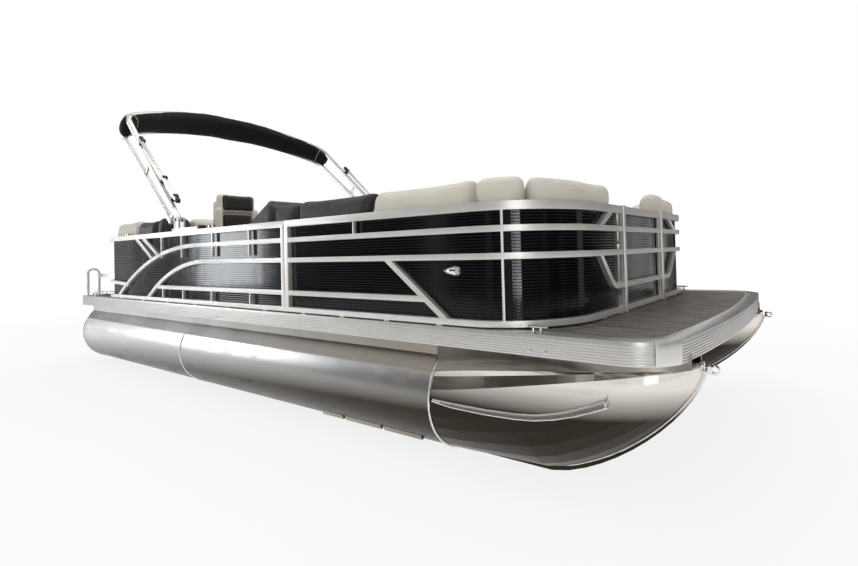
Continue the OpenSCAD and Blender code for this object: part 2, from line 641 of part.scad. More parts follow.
// a grab handle whose two legs stand side by side
module handle_loop(y) translate([loop_x, y, lip_z]) {
    for (s = [-1, 1]) translate([0, s * loop_half, 0]) cylinder(r = 12.5, h = loop_h - loop_half);
    translate([0, 0, loop_h - loop_half]) rotate([90, 0, 90]) rotate_extrude(angle = 180, $fn = 96)
        translate([loop_half, 0]) circle(r = 12.5, $fn = 24);
    translate([-22, -loop_half - 18, 0]) cube([44, 2 * loop_half + 36, 4]);
}
module ladder_handrails() color(silver) {
    // hinge lugs of the ladder on the stern edge
    for (s = [-1, 1]) difference() {
        translate([ladder_hinge[0] - 18, ladder_y + s * (ladder_w / 2 + 23.5) - 5, lip_z - 20])
            cube([70, 10, 66]);
        translate([0, ladder_y + s * (ladder_w / 2 + 23.5) - 6, lip_z - 30]) cube([60, 12, 30]);
        translate([ladder_hinge[0], ladder_y + s * (ladder_w / 2 + 23.5) - 6, ladder_hinge[1]])
            rotate([-90, 0, 0]) cylinder(r = 6, h = 12);
    }
    for (y = loop_y) {
        handle_loop(y);
        translate([loop_x, y + loop_half - 10, lip_z + loop_h - 92])
            cube([stern_fence_x + rail - loop_x, 20, 36]);
    }
}
cleat_x = [deck_l - 700, 300];
cleat_y = half_w - 33;
cleat_l = 110;
module mooring_cleats() color(silver) for (s = [-1, 1]) for (x = cleat_x) {
    translate([x - cleat_l / 2, s * cleat_y - 9, lip_z + 24]) cube([cleat_l, 18, 10]);
    for (d = [-20, 20]) translate([x + d, s * cleat_y, lip_z]) cylinder(r = 7, h = 26);
}
light_x = 5540;
light_z = lip_z + 290;
light_r = 28;
light_h = 34;
module docking_lights() color([0.85, 0.80, 0.60]) for (s = [-1, 1])
    translate([light_x, s * (side_y - rail), light_z]) rotate([s * 90, 0, 0])
        translate([0, 0, -light_h]) cylinder(r = light_r, h = light_h);

// ---------- outboard motor ----------
transom_x = -70;
transom_t = 40;
transom_top = trim_z + 63;
pod_z = 330;
pod_w = 600;
tilt_axis = [transom_x - 45, transom_top + 15];
steer_x = -85;
plate_z = -leg_l - 15;
shaft_z = plate_z - prop_d / 2 - 20;
ear_y = 120;
ear_t = 30;
tilt_pin_r = 13.7;
module tilted() translate([tilt_axis[0], 0, tilt_axis[1]]) rotate([0, motor_tilt, 0]) children();
module motor_pod() color(mill) {
    translate([transom_x + transom_t, -pod_w / 2, pod_z]) cube([1280, pod_w, trim_z - 10 - pod_z]);
    translate([180, -pod_w / 2, trim_z - 20]) cube([1070, pod_w, riser_top - trim_z + 20]);
    translate([transom_x, -260, pod_z]) cube([transom_t, 520, transom_top - pod_z]);
}
module clamp_ear() difference() {
    union() {
        translate([transom_x - 30, 0, transom_top - 300]) cube([30, ear_t, 320]);
        translate([transom_x - 30, 0, transom_top]) cube([transom_t + 42, ear_t, 20]);
        translate([transom_x + transom_t, 0, transom_top - 70]) cube([12, ear_t, 80]);
        translate([tilt_axis[0], ear_t, tilt_axis[1]]) rotate([90, 0, 0]) cylinder(r = 32, h = ear_t);
    }
    translate([tilt_axis[0], -1, tilt_axis[1]]) rotate([-90, 0, 0])
        cylinder(r = tilt_pin_r + face_gap, h = ear_t + 2);
    translate([transom_x, -1, transom_top - 80]) cube([transom_t, ear_t + 2, 80]);
}
module motor_clamp_bracket() color(black) for (s = [-1, 1])
    translate([0, s * ear_y - ear_t / 2, 0]) clamp_ear();
module motor_swivel_bracket() color(black) tilted() {
    translate([0, ear_y + ear_t / 2, 0]) rotate([90, 0, 0]) cylinder(r = tilt_pin_r, h = 2 * ear_y + ear_t);
    difference() {
        union() {
            translate([steer_x, 0, -300]) cylinder(r = 42, h = 290);
            translate([steer_x, -50, -280]) cube([-steer_x + 12, 100, 265]);
            translate([-16, -90, -30]) cube([32, 180, 44]);
        }
        translate([steer_x, 0, -301]) cylinder(r = 22, h = 292);
    }
}
module motor_cowling() color(black) tilted() translate([-600, -cowl_w / 2, 40]) cube([490, cowl_w, 450]);
module motor_leg() color(black) tilted() {
    translate([steer_x, 0, -325]) cylinder(r = 21.7, h = 340);
    for (z = [-4, -330]) translate([-340, -45, z]) cube([340 + steer_x + 25, 90, 24]);
    translate([-360, -70, -340]) cube([190, 140, 380 - face_gap]);
    translate([-345, -45, plate_z - 20]) cube([160, 90, -plate_z - 300]);
    translate([-350, -28, shaft_z]) cube([150, 56, plate_z - shaft_z]);
    translate([-470, -100, plate_z]) cube([310, 200, 10]);
    translate([-400, 0, shaft_z]) rotate([0, 90, 0]) cylinder(r = 46, h = 260);
    translate([-330, -8, shaft_z - 190]) cube([110, 16, 180]);
}
module propeller() color([0.2, 0.2, 0.2]) tilted()
    translate([-400 - face_gap, 0, shaft_z]) rotate([0, -90, 0]) {
        cylinder(r = 42, h = 110);
        for (a = [0, 120, 240]) rotate([0, 0, a]) translate([30, 0, 55]) rotate([28, 0, 0])
            translate([0, -55, -4]) cube([prop_d / 2 - 32, 110, 8]);
    }

// ---------- the whole boat ----------
aft_reach = -1040;
fore_reach = tip_x + 64;
module boat() translate([-(aft_reach + fore_reach) / 2, 0, 0]) children();
boat() pontoon();  // starboard_pontoon
boat() port_side() pontoon();  // port_pontoon
boat() nose_cone();  // starboard_nose_cone
boat() port_side() nose_cone();  // port_nose_cone
boat() riser();  // starboard_riser
boat() port_side() riser();  // port_riser
boat() cross_members();  // deck_cross_members
boat() deck_board();
boat() deck_trim();
boat() motor_pod();
boat() starboard_aft_fence_frame();
boat() starboard_bow_fence_frame();
boat() port_aft_fence_frame();
boat() port_bow_fence_frame();
boat() fence_skins();
boat() at_bow_gate() gate_frame(bow_gate_w);  // bow_gate_frame
boat() at_bow_gate() gate_skin(bow_gate_w);  // bow_gate_skin
boat() at_side_gate() gate_frame(side_gate_w);  // side_gate_frame
boat() at_side_gate() gate_skin(side_gate_w);  // side_gate_skin
boat() at_stern_gate() gate_frame(stern_gate_w);  // stern_gate_frame
boat() at_stern_gate() gate_skin(stern_gate_w);  // stern_gate_skin
boat() {  // bow_eyes
    bow_eye();
    port_side() bow_eye();
}
boat() lounge_bases();
boat() bow_seat(bow_lounge_x);  // starboard_bow_seat
boat() bow_backrest(bow_lounge_x);  // starboard_bow_backrest
boat() port_side() bow_seat(port_bow_x);  // port_bow_seat
boat() port_side() bow_backrest(port_bow_x);  // port_bow_backrest
boat() seat() starboard_aft_seat_plan();  // starboard_aft_seat
boat() starboard_aft_backrest();
boat() port_side() seat() port_aft_seat_plan();  // port_aft_seat
boat() port_side() aft_backrest(port_aft_x, -aft_gate_y);  // port_aft_backrest
boat() helm_console();
boat() steering_wheel();
boat() chair_pedestal();
boat() chair_seat();
boat() chair_back();
boat() bimini_mounts();
boat() bimini_bows();
boat() bimini_struts();
boat() bimini_boot();
boat() boarding_ladder();
boat() ladder_handrails();
boat() mooring_cleats();
boat() docking_lights();
boat() motor_clamp_bracket();
boat() motor_swivel_bracket();
boat() motor_cowling();
boat() motor_leg();
boat() propeller();
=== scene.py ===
# %% [markdown]
# # A pontoon boat
# A pontoon boat is a flat deck on two long aluminium tubes. Its solids were made in CAD, and they
# come here as a fixed frame, in metres. This lesson gives that frame its finishes and its soft
# parts. The first step loads the frame.

import json
import math

import bpy
from mathutils import Matrix, Vector, noise

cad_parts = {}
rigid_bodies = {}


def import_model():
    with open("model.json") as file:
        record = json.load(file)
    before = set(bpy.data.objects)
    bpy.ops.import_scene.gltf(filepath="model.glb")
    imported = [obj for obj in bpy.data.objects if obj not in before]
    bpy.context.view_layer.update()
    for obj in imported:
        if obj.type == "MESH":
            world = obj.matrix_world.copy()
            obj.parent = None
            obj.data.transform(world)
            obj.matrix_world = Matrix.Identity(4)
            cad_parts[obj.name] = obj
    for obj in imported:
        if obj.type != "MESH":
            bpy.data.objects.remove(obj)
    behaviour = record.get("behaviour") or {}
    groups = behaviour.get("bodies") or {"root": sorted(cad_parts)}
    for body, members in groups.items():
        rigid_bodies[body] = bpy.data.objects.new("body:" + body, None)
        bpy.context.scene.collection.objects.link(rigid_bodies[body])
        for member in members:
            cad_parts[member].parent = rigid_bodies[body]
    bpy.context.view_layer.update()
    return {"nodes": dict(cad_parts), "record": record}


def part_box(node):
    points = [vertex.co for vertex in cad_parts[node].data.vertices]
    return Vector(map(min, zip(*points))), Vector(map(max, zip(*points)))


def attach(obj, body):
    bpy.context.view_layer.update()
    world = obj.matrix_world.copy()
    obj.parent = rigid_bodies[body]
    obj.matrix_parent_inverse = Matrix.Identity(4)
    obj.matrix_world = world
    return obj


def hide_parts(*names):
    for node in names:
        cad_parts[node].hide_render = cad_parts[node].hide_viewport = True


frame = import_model()
nodes = frame["nodes"]
record = frame["record"]
body_of_node = {n: b for b, members in record["behaviour"]["bodies"].items() for n in members}
slot_of_node = {s["node"]: s["material_slot"] for s in record["subparts"]}

# %% [markdown]
# Boat builders give places as stations, which run forward from the stern edge of the deck. The
# frame's origin is at mid-length instead, so one small function turns a station into the frame's X.
# Starboard is -Y and port is +Y.

# %% Stations
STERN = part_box("deck_trim")[0].x
LIP_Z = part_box("deck_trim")[1].z
FENCE_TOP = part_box("starboard_aft_fence_frame")[1].z
SIDES = {"starboard": -1, "port": 1}


def st(x):
    return STERN + x


# %% [markdown]
# The camera stands low, close to the starboard bow, and looks aft along the boat. Its three axes
# are written out, because they say exactly how it is turned. The shift moves the picture sideways
# without turning the camera, as a view camera does.

# %% The camera
lens = bpy.data.cameras.new("camera")
camera = bpy.data.objects.new("camera", lens)
bpy.context.scene.collection.objects.link(camera)
bpy.context.scene.camera = camera
right = Vector((0.8248, 0.5648, -0.0269)).normalized()
ahead = Vector((-0.5646, 0.8252, 0.0174)).normalized()
turned = Matrix((right, right.cross(ahead), -ahead)).transposed().to_4x4()
camera.matrix_world = Matrix.Translation((st(7.224), -3.261, 1.1515)) @ turned
lens.sensor_width = 36
lens.lens = 20.77
lens.shift_x = -0.0854
lens.shift_y = -0.0483
lens.clip_start = 0.05
lens.clip_end = 200
bpy.context.scene.view_settings.view_transform = "Standard"

# %% [markdown]
# Shader maths is easier to read as sums than as a picture of wires. `Tone` wraps one socket and
# overloads plus and times, so that `0.1 + waves * 0.3` adds its Math nodes by itself. `Finish` is one
# material: it holds the main shader, and its `node` method adds any other node.


# %% Shader sums
class Tone:
    def __init__(self, finish, socket):
        self.finish = finish
        self.socket = socket

    def math(self, operation, first, second):
        return self.finish.node("Math", {0: first, 1: second}, operation=operation)

    def __add__(self, other):
        return self.math("ADD", self, other)

    def __mul__(self, other):
        return self.math("MULTIPLY", self, other)

    __radd__ = __add__
    __rmul__ = __mul__


class Finish:
    def __init__(self, name, **fixed):
        self.material = bpy.data.materials.new(name)
        self.material.use_nodes = True
        self.tree = self.material.node_tree
        self.shader = next(n for n in self.tree.nodes if n.type == "BSDF_PRINCIPLED")
        for socket, value in fixed.items():
            self.put(self.shader.inputs[socket.replace("_", " ")], value)

    def put(self, socket, value):
        if isinstance(value, Tone):
            self.tree.links.new(value.socket, socket)
        elif socket.type == "RGBA" and len(value) == 3:
            socket.default_value = (*value, 1)
        else:
            socket.default_value = value

    def node(self, kind, sockets=(), output=0, stops=(), **settings):
        made = self.tree.nodes.new("ShaderNode" + kind)
        for setting, value in settings.items():
            setattr(made, setting, value)
        if stops:
            ramp = made.color_ramp.elements
            for at, tone in stops[2:]:
                ramp.new(at)
            for element, (at, tone) in zip(ramp, stops):
                element.position = at
                element.color = (tone, tone, tone, 1) if isinstance(tone, float) else (*tone, 1)
        for socket, value in dict(sockets).items():
            self.put(made.inputs[socket], value)
        return Tone(self, made.outputs[output])

    def place(self, stretch=(1, 1, 1), turn=(0, 0, 0)):
        """Object coordinates, stretched and turned."""
        at = self.node("TexCoord", output="Object")
        return self.node("Mapping", {"Vector": at, "Scale": stretch, "Rotation": turn})

    def axis(self, letter):
        return self.node("SeparateXYZ", {0: self.node("TexCoord", output="Object")}, output=letter)

    def noise(self, scale, detail=2, stretch=(1, 1, 1), turn=(0, 0, 0)):
        at = self.place(stretch, turn)
        return self.node("TexNoise", {"Vector": at, "Scale": scale, "Detail": detail})

    def between(self, factor, low, high):
        """A colour that runs from low to high as factor runs from 0 to 1."""
        return self.node("Mix", {0: factor, 6: low, 7: high}, output=2, data_type="RGBA")

    def range(self, factor, low, high, to_low=0.0, to_high=1.0):
        sockets = {"Value": factor, "From Min": low, "From Max": high, "To Min": to_low, "To Max": to_high}
        return self.node("MapRange", sockets)

    def math_max(self, first, *others):
        for other in others:
            first = self.node("Math", {0: first, 1: other}, operation="MAXIMUM")
        return first

    def bump(self, height, distance, strength=1.0):
        made = self.node("Bump", {"Height": height, "Distance": distance, "Strength": strength})
        self.paint(Normal=made)

    def paint(self, **sockets):
        for socket, value in sockets.items():
            self.put(self.shader.inputs[socket.replace("_", " ")], value)


# %% [markdown]
# The pontoons are mill aluminium sheet. It is a satin metal with cloudy patches and fine lines round
# the tube from rolling. Its colour is painted darker and browner towards the bottom of the tube, as
# painted shade, and it also darkens towards the bow. The cloudiness changes both the colour and the
# roughness, because a dull patch is also a rougher one.

# %% Aluminium finishes
mill = Finish("mill_aluminium", Metallic=1.0)
clouds = mill.noise(2.2, 5, (0.6, 1.3, 1.3))
fine = mill.noise(60, 3, (4, 0.25, 0.25))
scuffs = mill.range(mill.noise(7, 6, (1, 2.4, 2.4)), 0.56, 0.74)
bright_tone = mill.between(clouds, (0.62, 0.61, 0.595), (0.84, 0.83, 0.815))
# Painted shade: a dark brown tone that the colour runs to low on the tube, and also towards the bow.
painted_shade_tone = mill.between(clouds, (0.030, 0.024, 0.018), (0.066, 0.055, 0.042))
low = mill.range(mill.axis("Z"), 0.47, 0.13)
forward = mill.range(mill.axis("X"), -2.6, 2.9)
mill.paint(Base_Color=mill.between(mill.range(low * 0.95 + forward * 0.56, 0.34, 1.0), bright_tone, painted_shade_tone))
mill.paint(Roughness=0.22 + clouds * 0.14 + fine * 0.06 + scuffs * 0.12)
mill.bump(fine * 0.5 + clouds * 1.6, 0.0012, 0.5)

polished = Finish("polished_aluminium", Metallic=1.0)
waves = polished.noise(2.6, 2, (0.35, 1.0, 3.2))
lines = polished.noise(90, 2, (0.03, 1, 1))
bright_tone = polished.between(waves, (0.70, 0.655, 0.59), (0.90, 0.87, 0.81))
# Painted shade: the nose's colour runs to nearly black from 0.53 m down to 0.37 m.
painted_shade_tone = polished.between(waves, (0.022, 0.017, 0.012), (0.046, 0.037, 0.027))
low = polished.range(polished.axis("Z"), 0.53, 0.37)
polished.paint(Base_Color=polished.between(low, bright_tone, painted_shade_tone))
polished.paint(Roughness=0.10 + waves * 0.10 + lines * 0.05 + low * 0.12)
polished.bump(waves * 3 + lines * 0.1, 0.002, 0.5)

panel = Finish("panel_aluminium", Metallic=1.0)
sweeps = panel.noise(2.8, 3, (1.6, 1, 0.5))
drawn = panel.noise(110, 2, (0.06, 1, 1))
bright_tone = panel.between(sweeps, (0.50, 0.50, 0.51), (0.80, 0.80, 0.81))
tan = panel.between(sweeps, (0.26, 0.235, 0.20), (0.42, 0.385, 0.335))
panel.paint(Base_Color=panel.between(panel.range(panel.axis("X"), -2.4, 2.2), bright_tone, tan))
panel.paint(Roughness=0.20 + sweeps * 0.18 + drawn * 0.08)
panel.bump(sweeps * 3 + drawn * 0.15, 0.002, 0.5)

weld = Finish("weld_bead", Metallic=1.0)
scales = weld.noise(160, 2)
weld.paint(Base_Color=weld.between(scales, (0.66, 0.65, 0.63), (0.95, 0.94, 0.92)))
weld.paint(Roughness=0.22 + scales * 0.2)
weld.bump(scales, 0.002)

# %% [markdown]
# Rails and trim are anodised extrusions. Anodising gives an even satin skin, so the roughness
# hardly changes, and only very fine drawing lines run along the metal.

# %% Anodised finishes
rail = Finish("satin_rail", Metallic=0.75)
haze = rail.noise(9, 3)
drawn = rail.noise(150, 2, (0.05, 0.05, 1))
rail.paint(Base_Color=rail.between(haze, (0.74, 0.725, 0.69), (0.82, 0.805, 0.77)))
rail.paint(Roughness=0.34 + drawn * 0.1 + haze * 0.05)
rail.bump(drawn, 0.0004, 0.4)

trim = Finish("trim_extrusion", Metallic=0.85)
haze = trim.noise(4, 4, (1, 1, 2))
drawn = trim.noise(140, 2, (0.04, 0.04, 1))
trim.paint(Base_Color=trim.between(haze, (0.60, 0.59, 0.57), (0.72, 0.71, 0.69)))
trim.paint(Roughness=0.30 + drawn * 0.14 + haze * 0.06)
trim.bump(drawn, 0.0005, 0.4)

chrome = Finish("polished_fittings", Metallic=1.0)
smear = chrome.noise(30, 3)
chrome.paint(Base_Color=chrome.between(smear, (0.72, 0.72, 0.72), (0.84, 0.84, 0.84)))
chrome.paint(Roughness=0.05 + smear * 0.08)

# %% [markdown]
# The fence is skinned in ribbed sheet with a gloss enamel. Deep gloss shows every ripple in the
# sheet, so a long slow wave goes into the bump: it breaks reflections up into soft upright bands.

# %% Enamel, paint and plastics
enamel = Finish("black_skin", Specular_IOR_Level=0.22)
ripple = enamel.noise(1.4, 3, (1, 1, 0.15))
flow = enamel.noise(9, 2)
enamel.paint(Base_Color=enamel.between(flow, (0.0008, 0.0008, 0.0014), (0.0028, 0.0028, 0.0045)))
enamel.paint(Roughness=0.07 + flow * 0.07)
enamel.bump(ripple * 4 + flow * 0.3, 0.002, 0.6)

gloss_paint = Finish("motor_paint", Coat_Weight=0.7, Coat_Roughness=0.05)
flake = gloss_paint.noise(900, 1)
depth = gloss_paint.noise(5, 2)
gloss_paint.paint(Base_Color=gloss_paint.between(flake * depth, (0.010, 0.011, 0.013),
                                                 (0.035, 0.036, 0.04)))
gloss_paint.paint(Roughness=0.2 + depth * 0.1)
gloss_paint.bump(depth, 0.0006, 0.4)


def plastic(name, dark, light, rough, grain=700):
    made = Finish(name)
    speckle = made.noise(grain, 2)
    wear = made.noise(11, 4)
    made.paint(Base_Color=made.between(wear * 0.6 + speckle * 0.4, dark, light))
    made.paint(Roughness=rough + wear * 0.12)
    made.bump(speckle, 0.0005, 0.5)
    return made


black_plastic = plastic("black_plastic", (0.012, 0.012, 0.013), (0.028, 0.028, 0.029), 0.42)
helm_plastic = plastic("helm_charcoal", (0.040, 0.040, 0.042), (0.070, 0.069, 0.070), 0.42)
base_plastic = plastic("base_shell", (0.44, 0.42, 0.385), (0.54, 0.52, 0.48), 0.45)
ivory_plastic = plastic("dial_face", (0.70, 0.70, 0.66), (0.80, 0.80, 0.77), 0.35)
rubber = plastic("soft_rubber", (0.010, 0.010, 0.010), (0.022, 0.021, 0.020), 0.62, 400)
screen = Finish("dark_screen", Roughness=0.08, Coat_Weight=1.0)
screen.paint(Base_Color=screen.between(screen.noise(6), (0.006, 0.007, 0.010), (0.016, 0.018, 0.024)))

# %% [markdown]
# Marine vinyl is a fabric-backed sheet with a fine pebble grain. Two sizes of cell noise make the
# grain, and a slow noise makes the slight unevenness of stretched foam. The darker vinyl is the same
# sheet in charcoal.


# %% Vinyl, floor and boot cloth
def vinyl(name, dark, light):
    made = Finish(name, Sheen_Weight=0.12, Specular_IOR_Level=0.35)
    pebble = made.node("TexVoronoi", {"Vector": made.place(), "Scale": 420.0}, feature="SMOOTH_F1")
    crease = made.noise(60, 4)
    slow = made.noise(3.5, 3)
    made.paint(Base_Color=made.between(slow * 0.75 + crease * 0.25, dark, light))
    made.paint(Roughness=0.44 + crease * 0.12)
    made.bump(pebble * 0.5 + crease * 0.6 + slow * 5, 0.0008, 0.45)
    return made


beige = vinyl("beige_vinyl", (0.55, 0.515, 0.44), (0.64, 0.605, 0.525))
charcoal = vinyl("charcoal_vinyl", (0.018, 0.0175, 0.0165), (0.032, 0.031, 0.029))
cocoa = vinyl("cocoa_vinyl", (0.016, 0.013, 0.012), (0.030, 0.026, 0.024))

floor_vinyl = Finish("woven_vinyl", Specular_IOR_Level=0.3)
streak = floor_vinyl.noise(75, 4, (0.10, 1, 1))
speck = floor_vinyl.noise(210, 3, (0.3, 1, 1))
weave = floor_vinyl.node("TexWave", {"Vector": floor_vinyl.place(), "Scale": 80.0, "Distortion": 1.5},
                         bands_direction="Y")
heather = floor_vinyl.range(streak * 0.6 + speck * 0.4, 0.36, 0.64)
floor_vinyl.paint(Base_Color=floor_vinyl.between(heather, (0.030, 0.027, 0.025), (0.27, 0.25, 0.23)))
floor_vinyl.paint(Roughness=0.62 + speck * 0.2)
floor_vinyl.bump(weave * 0.6 + speck * 0.8, 0.0015, 0.7)

canvas = Finish("boot_cloth", Sheen_Weight=0.04, Specular_IOR_Level=0.2)
threads = canvas.node("TexWave", {"Vector": canvas.place(), "Scale": 350.0}, bands_direction="X")
cross = canvas.node("TexWave", {"Vector": canvas.place(), "Scale": 350.0}, bands_direction="Y")
faded = canvas.noise(5, 4)
creases = canvas.noise(7, 3, (1, 0.3, 1), (0.6, 0, 0.5))
canvas.paint(Base_Color=canvas.between(faded, (0.0020, 0.0017, 0.0014), (0.0065, 0.0058, 0.0048)))
canvas.paint(Roughness=0.6 + faded * 0.18)
canvas.bump(threads * 0.5 + cross * 0.5 + faded * 2 + creases * 14, 0.0008, 0.7)

webbing = Finish("grey_webbing", Sheen_Weight=0.3)
ribs = webbing.node("TexWave", {"Vector": webbing.place(), "Scale": 240.0}, bands_direction="DIAGONAL")
webbing.paint(Base_Color=webbing.between(ribs, (0.16, 0.155, 0.15), (0.30, 0.29, 0.28)))
webbing.paint(Roughness=0.7 + ribs * 0.1)
webbing.bump(ribs, 0.0006)

lamp_glass = Finish("lamp_lens", Roughness=0.08, Transmission_Weight=0.0, Coat_Weight=1.0)
prism = lamp_glass.node("TexWave", {"Vector": lamp_glass.place(), "Scale": 90.0}, bands_direction="X")
lamp_glass.paint(Base_Color=lamp_glass.between(prism, (0.42, 0.40, 0.33), (0.86, 0.82, 0.70)))
lamp_glass.bump(prism, 0.001)
FINISH_OF_SLOT = {"satin_aluminium": mill, "polished_aluminium": polished, "rail_aluminium": rail,
                  "black_skin": enamel, "woven_vinyl": floor_vinyl, "beige_vinyl": beige,
                  "base_plastic": base_plastic, "helm_vinyl": helm_plastic, "black_plastic": black_plastic,
                  "bright_metal": chrome, "boot_fabric": canvas, "motor_paint": gloss_paint,
                  "propeller_metal": gloss_paint}
for node, slot in slot_of_node.items():
    nodes[node].data.materials.clear()
    nodes[node].data.materials.append(FINISH_OF_SLOT[slot].material)
nodes["starboard_riser"].data.materials[0] = panel.material
nodes["port_riser"].data.materials[0] = panel.material
print(len(bpy.data.materials), "materials")

# %% [markdown]
# The set is a pale floor under a white sky. The floor takes the soft shadow, and fades into white a
# few metres out, so that there is no horizon. Only what the camera and mirrors see is made white:
# the light that falls on the boat stays at a plain level.

# %% The set
world = bpy.data.worlds.new("sky")
bpy.context.scene.world = world
world.use_nodes = True
tree = world.node_tree
sky = next(n for n in tree.nodes if n.type == "BACKGROUND")
path = tree.nodes.new("ShaderNodeLightPath")
seen = tree.nodes.new("ShaderNodeMath")
seen.operation = "MAXIMUM"
tree.links.new(path.outputs["Is Camera Ray"], seen.inputs[0])
tree.links.new(path.outputs["Is Glossy Ray"], seen.inputs[1])
through = tree.nodes.new("ShaderNodeMath")
through.operation = "MAXIMUM"
tree.links.new(seen.outputs[0], through.inputs[0])
tree.links.new(path.outputs["Is Transmission Ray"], through.inputs[1])
level = tree.nodes.new("ShaderNodeMapRange")
level.inputs["To Min"].default_value = 0.68
level.inputs["To Max"].default_value = 1.0
tree.links.new(through.outputs[0], level.inputs["Value"])
tree.links.new(level.outputs[0], sky.inputs["Strength"])
sky.inputs["Color"].default_value = (1, 1, 1, 1)

FLOOR_FADE = (2.9, 6.0)
bpy.ops.object.select_all(action="DESELECT")
bpy.ops.mesh.primitive_plane_add(size=60, location=(0, 0, 0))
ground = bpy.context.object
ground.name = "studio_floor"
pale = Finish("studio_floor", Base_Color=(0.82, 0.81, 0.80), Roughness=0.85, Specular_IOR_Level=0.1)
away = pale.node("VectorMath", {0: pale.place((0.62, 1, 1))}, output="Value", operation="LENGTH")
glow = pale.node("Emission", {"Color": (1, 1, 1), "Strength": 1.0})
rays = [pale.node("LightPath", output=f"Is {kind} Ray") for kind in ("Camera", "Glossy", "Transmission")]
seen = pale.math_max(*rays)
lift = pale.range(away, *FLOOR_FADE, 0.84, 1.0) * seen
blended = pale.node("MixShader", {0: lift, 1: Tone(pale, pale.shader.outputs[0]), 2: glow})
surface = next(n for n in pale.tree.nodes if n.type == "OUTPUT_MATERIAL")
pale.tree.links.new(blended.socket, surface.inputs["Surface"])
ground.data.materials.append(pale.material)


def softbox(name, at, aim, size, power, tint=(1, 1, 1)):
    light = bpy.data.lights.new(name, "AREA")
    light.shape = "RECTANGLE"
    light.size, light.size_y = size
    light.energy = power
    light.color = tint
    lamp = bpy.data.objects.new(name, light)
    bpy.context.scene.collection.objects.link(lamp)
    lamp.location = at
    lamp.rotation_euler = (Vector(aim) - Vector(at)).to_track_quat("-Z", "Y").to_euler()


softbox("overhead", (0.5, 0.5, 6.5), (0, 0, 0), (7, 3), 220)
softbox("bow_window", (6.6, -7.2, 2.2), (2.9, -1.2, 1.0), (0.5, 4.0), 95, (0.96, 0.98, 1))
softbox("side_window", (-6.9, -4.9, 1.9), (0, -1.2, 1.0), (1.3, 2.8), 105, (0.92, 0.96, 1))
softbox("port_fill", (-1, 7, 4), (0, 0, 1), (6, 3), 110)

# %% [markdown]
# Bare metal and gloss paint show what stands round them. A ring of tall dark screens with gaps
# between them, like the walls and windows of a workshop, gives them both dark and bright to show.
# The screens are part of the set: they neither light the boat nor shade it, and the camera doesn't
# see them.

# %% Screens
dark = Finish("dark_screen_cloth", Roughness=1.0, Specular_IOR_Level=0.0)
dark.paint(Base_Color=dark.between(dark.noise(0.4), (0.020, 0.017, 0.014), (0.045, 0.038, 0.030)))
SCREENS = [(-176, -156), (-152, -112), (-110, -84), (-82, -64), (-62, -44), (-42, -27), (-25, -2), (2, 26),
           (30, 58), (63, 92), (97, 128), (133, 178)]
ROOF = [(-8.6, -7.7), (-6.4, -5.9), (-4.4, -4.1), (-3.0, -0.6), (0.2, 4.0), (4.6, 9.5)]
panels = []
ROOM_X, ROOM_Y, ROOM_H = 12, 9.5, 5.2
for ends in SCREENS:
    (xa, ya), (xb, yb) = [(ROOM_X * math.cos(a), ROOM_Y * math.sin(a)) for a in map(math.radians, ends)]
    panels.append(((xa, ya, 0.0), (xb, yb, 0.0), (xa, ya, ROOM_H), (xb, yb, ROOM_H)))
for y0, y1 in ROOF:
    panels.append(((-ROOM_X, y0, ROOM_H), (ROOM_X, y0, ROOM_H), (-ROOM_X, y1, ROOM_H),
                   (ROOM_X, y1, ROOM_H)))
for k, corners in enumerate(panels):
    bpy.ops.object.select_all(action="DESELECT")
    bpy.ops.mesh.primitive_plane_add(size=1)
    wall = bpy.context.object
    wall.name = f"screen_{k}"
    for vertex, at in zip(wall.data.vertices, corners):
        vertex.co = at
    wall.data.materials.append(dark.material)
    wall.visible_camera = False
    wall.visible_diffuse = False
    wall.visible_shadow = False
print(len(panels), "screens")

# %% [markdown]
# Every new piece starts as a primitive or a drawn line, is shaped in edit mode, and is finished
# with modifiers. These helpers hold the steps that nearly every piece needs: clear the selection,
# add a block or a lathe ring, sweep a bar along points, and apply a bevel.


# %% Modelling helpers
def clear_selection():
    if bpy.context.object and bpy.context.object.mode != "OBJECT":
        bpy.ops.object.mode_set(mode="OBJECT")
    bpy.ops.object.select_all(action="DESELECT")


def pick(obj):
    clear_selection()
    obj.select_set(True)
    bpy.context.view_layer.objects.active = obj
    return obj


def settle(obj):
    """Puts an object's place, turn and scale into its mesh."""
    pick(obj)
    bpy.ops.object.transform_apply(location=True, rotation=True, scale=True)
    return obj


def block(name, low, high):
    clear_selection()
    low, high = Vector(low), Vector(high)
    bpy.ops.mesh.primitive_cube_add(size=1, location=(low + high) / 2, scale=high - low)
    bpy.context.object.name = name
    return settle(bpy.context.object)


def drum(name, centre, radius, length, axis="Z", sides=32, top=None):
    """A cylinder, or a cone to the radius top, centred on its length."""
    clear_selection()
    turn = {"X": (0, math.pi / 2, 0), "Y": (-math.pi / 2, 0, 0), "Z": (0, 0, 0)}[axis]
    bpy.ops.mesh.primitive_cone_add(vertices=sides, radius1=radius, radius2=radius if top is None else top,
                                    depth=length, location=centre, rotation=turn)
    bpy.context.object.name = name
    return settle(bpy.context.object)


def bar(name, runs, radius, roundness=2, closed=False):
    """Round bars along lines of points, as one mesh."""
    clear_selection()
    line = bpy.data.curves.new(name, "CURVE")
    line.dimensions = "3D"
    line.bevel_depth = radius
    line.bevel_resolution = roundness
    line.use_fill_caps = True
    for points in runs:
        spline = line.splines.new("POLY")
        spline.points.add(len(points) - 1)
        spline.use_cyclic_u = closed
        for point, at in zip(spline.points, points):
            point.co = (*at, 1)
    obj = bpy.data.objects.new(name, line)
    bpy.context.scene.collection.objects.link(obj)
    pick(obj)
    bpy.ops.object.convert(target="MESH")
    return bpy.context.object


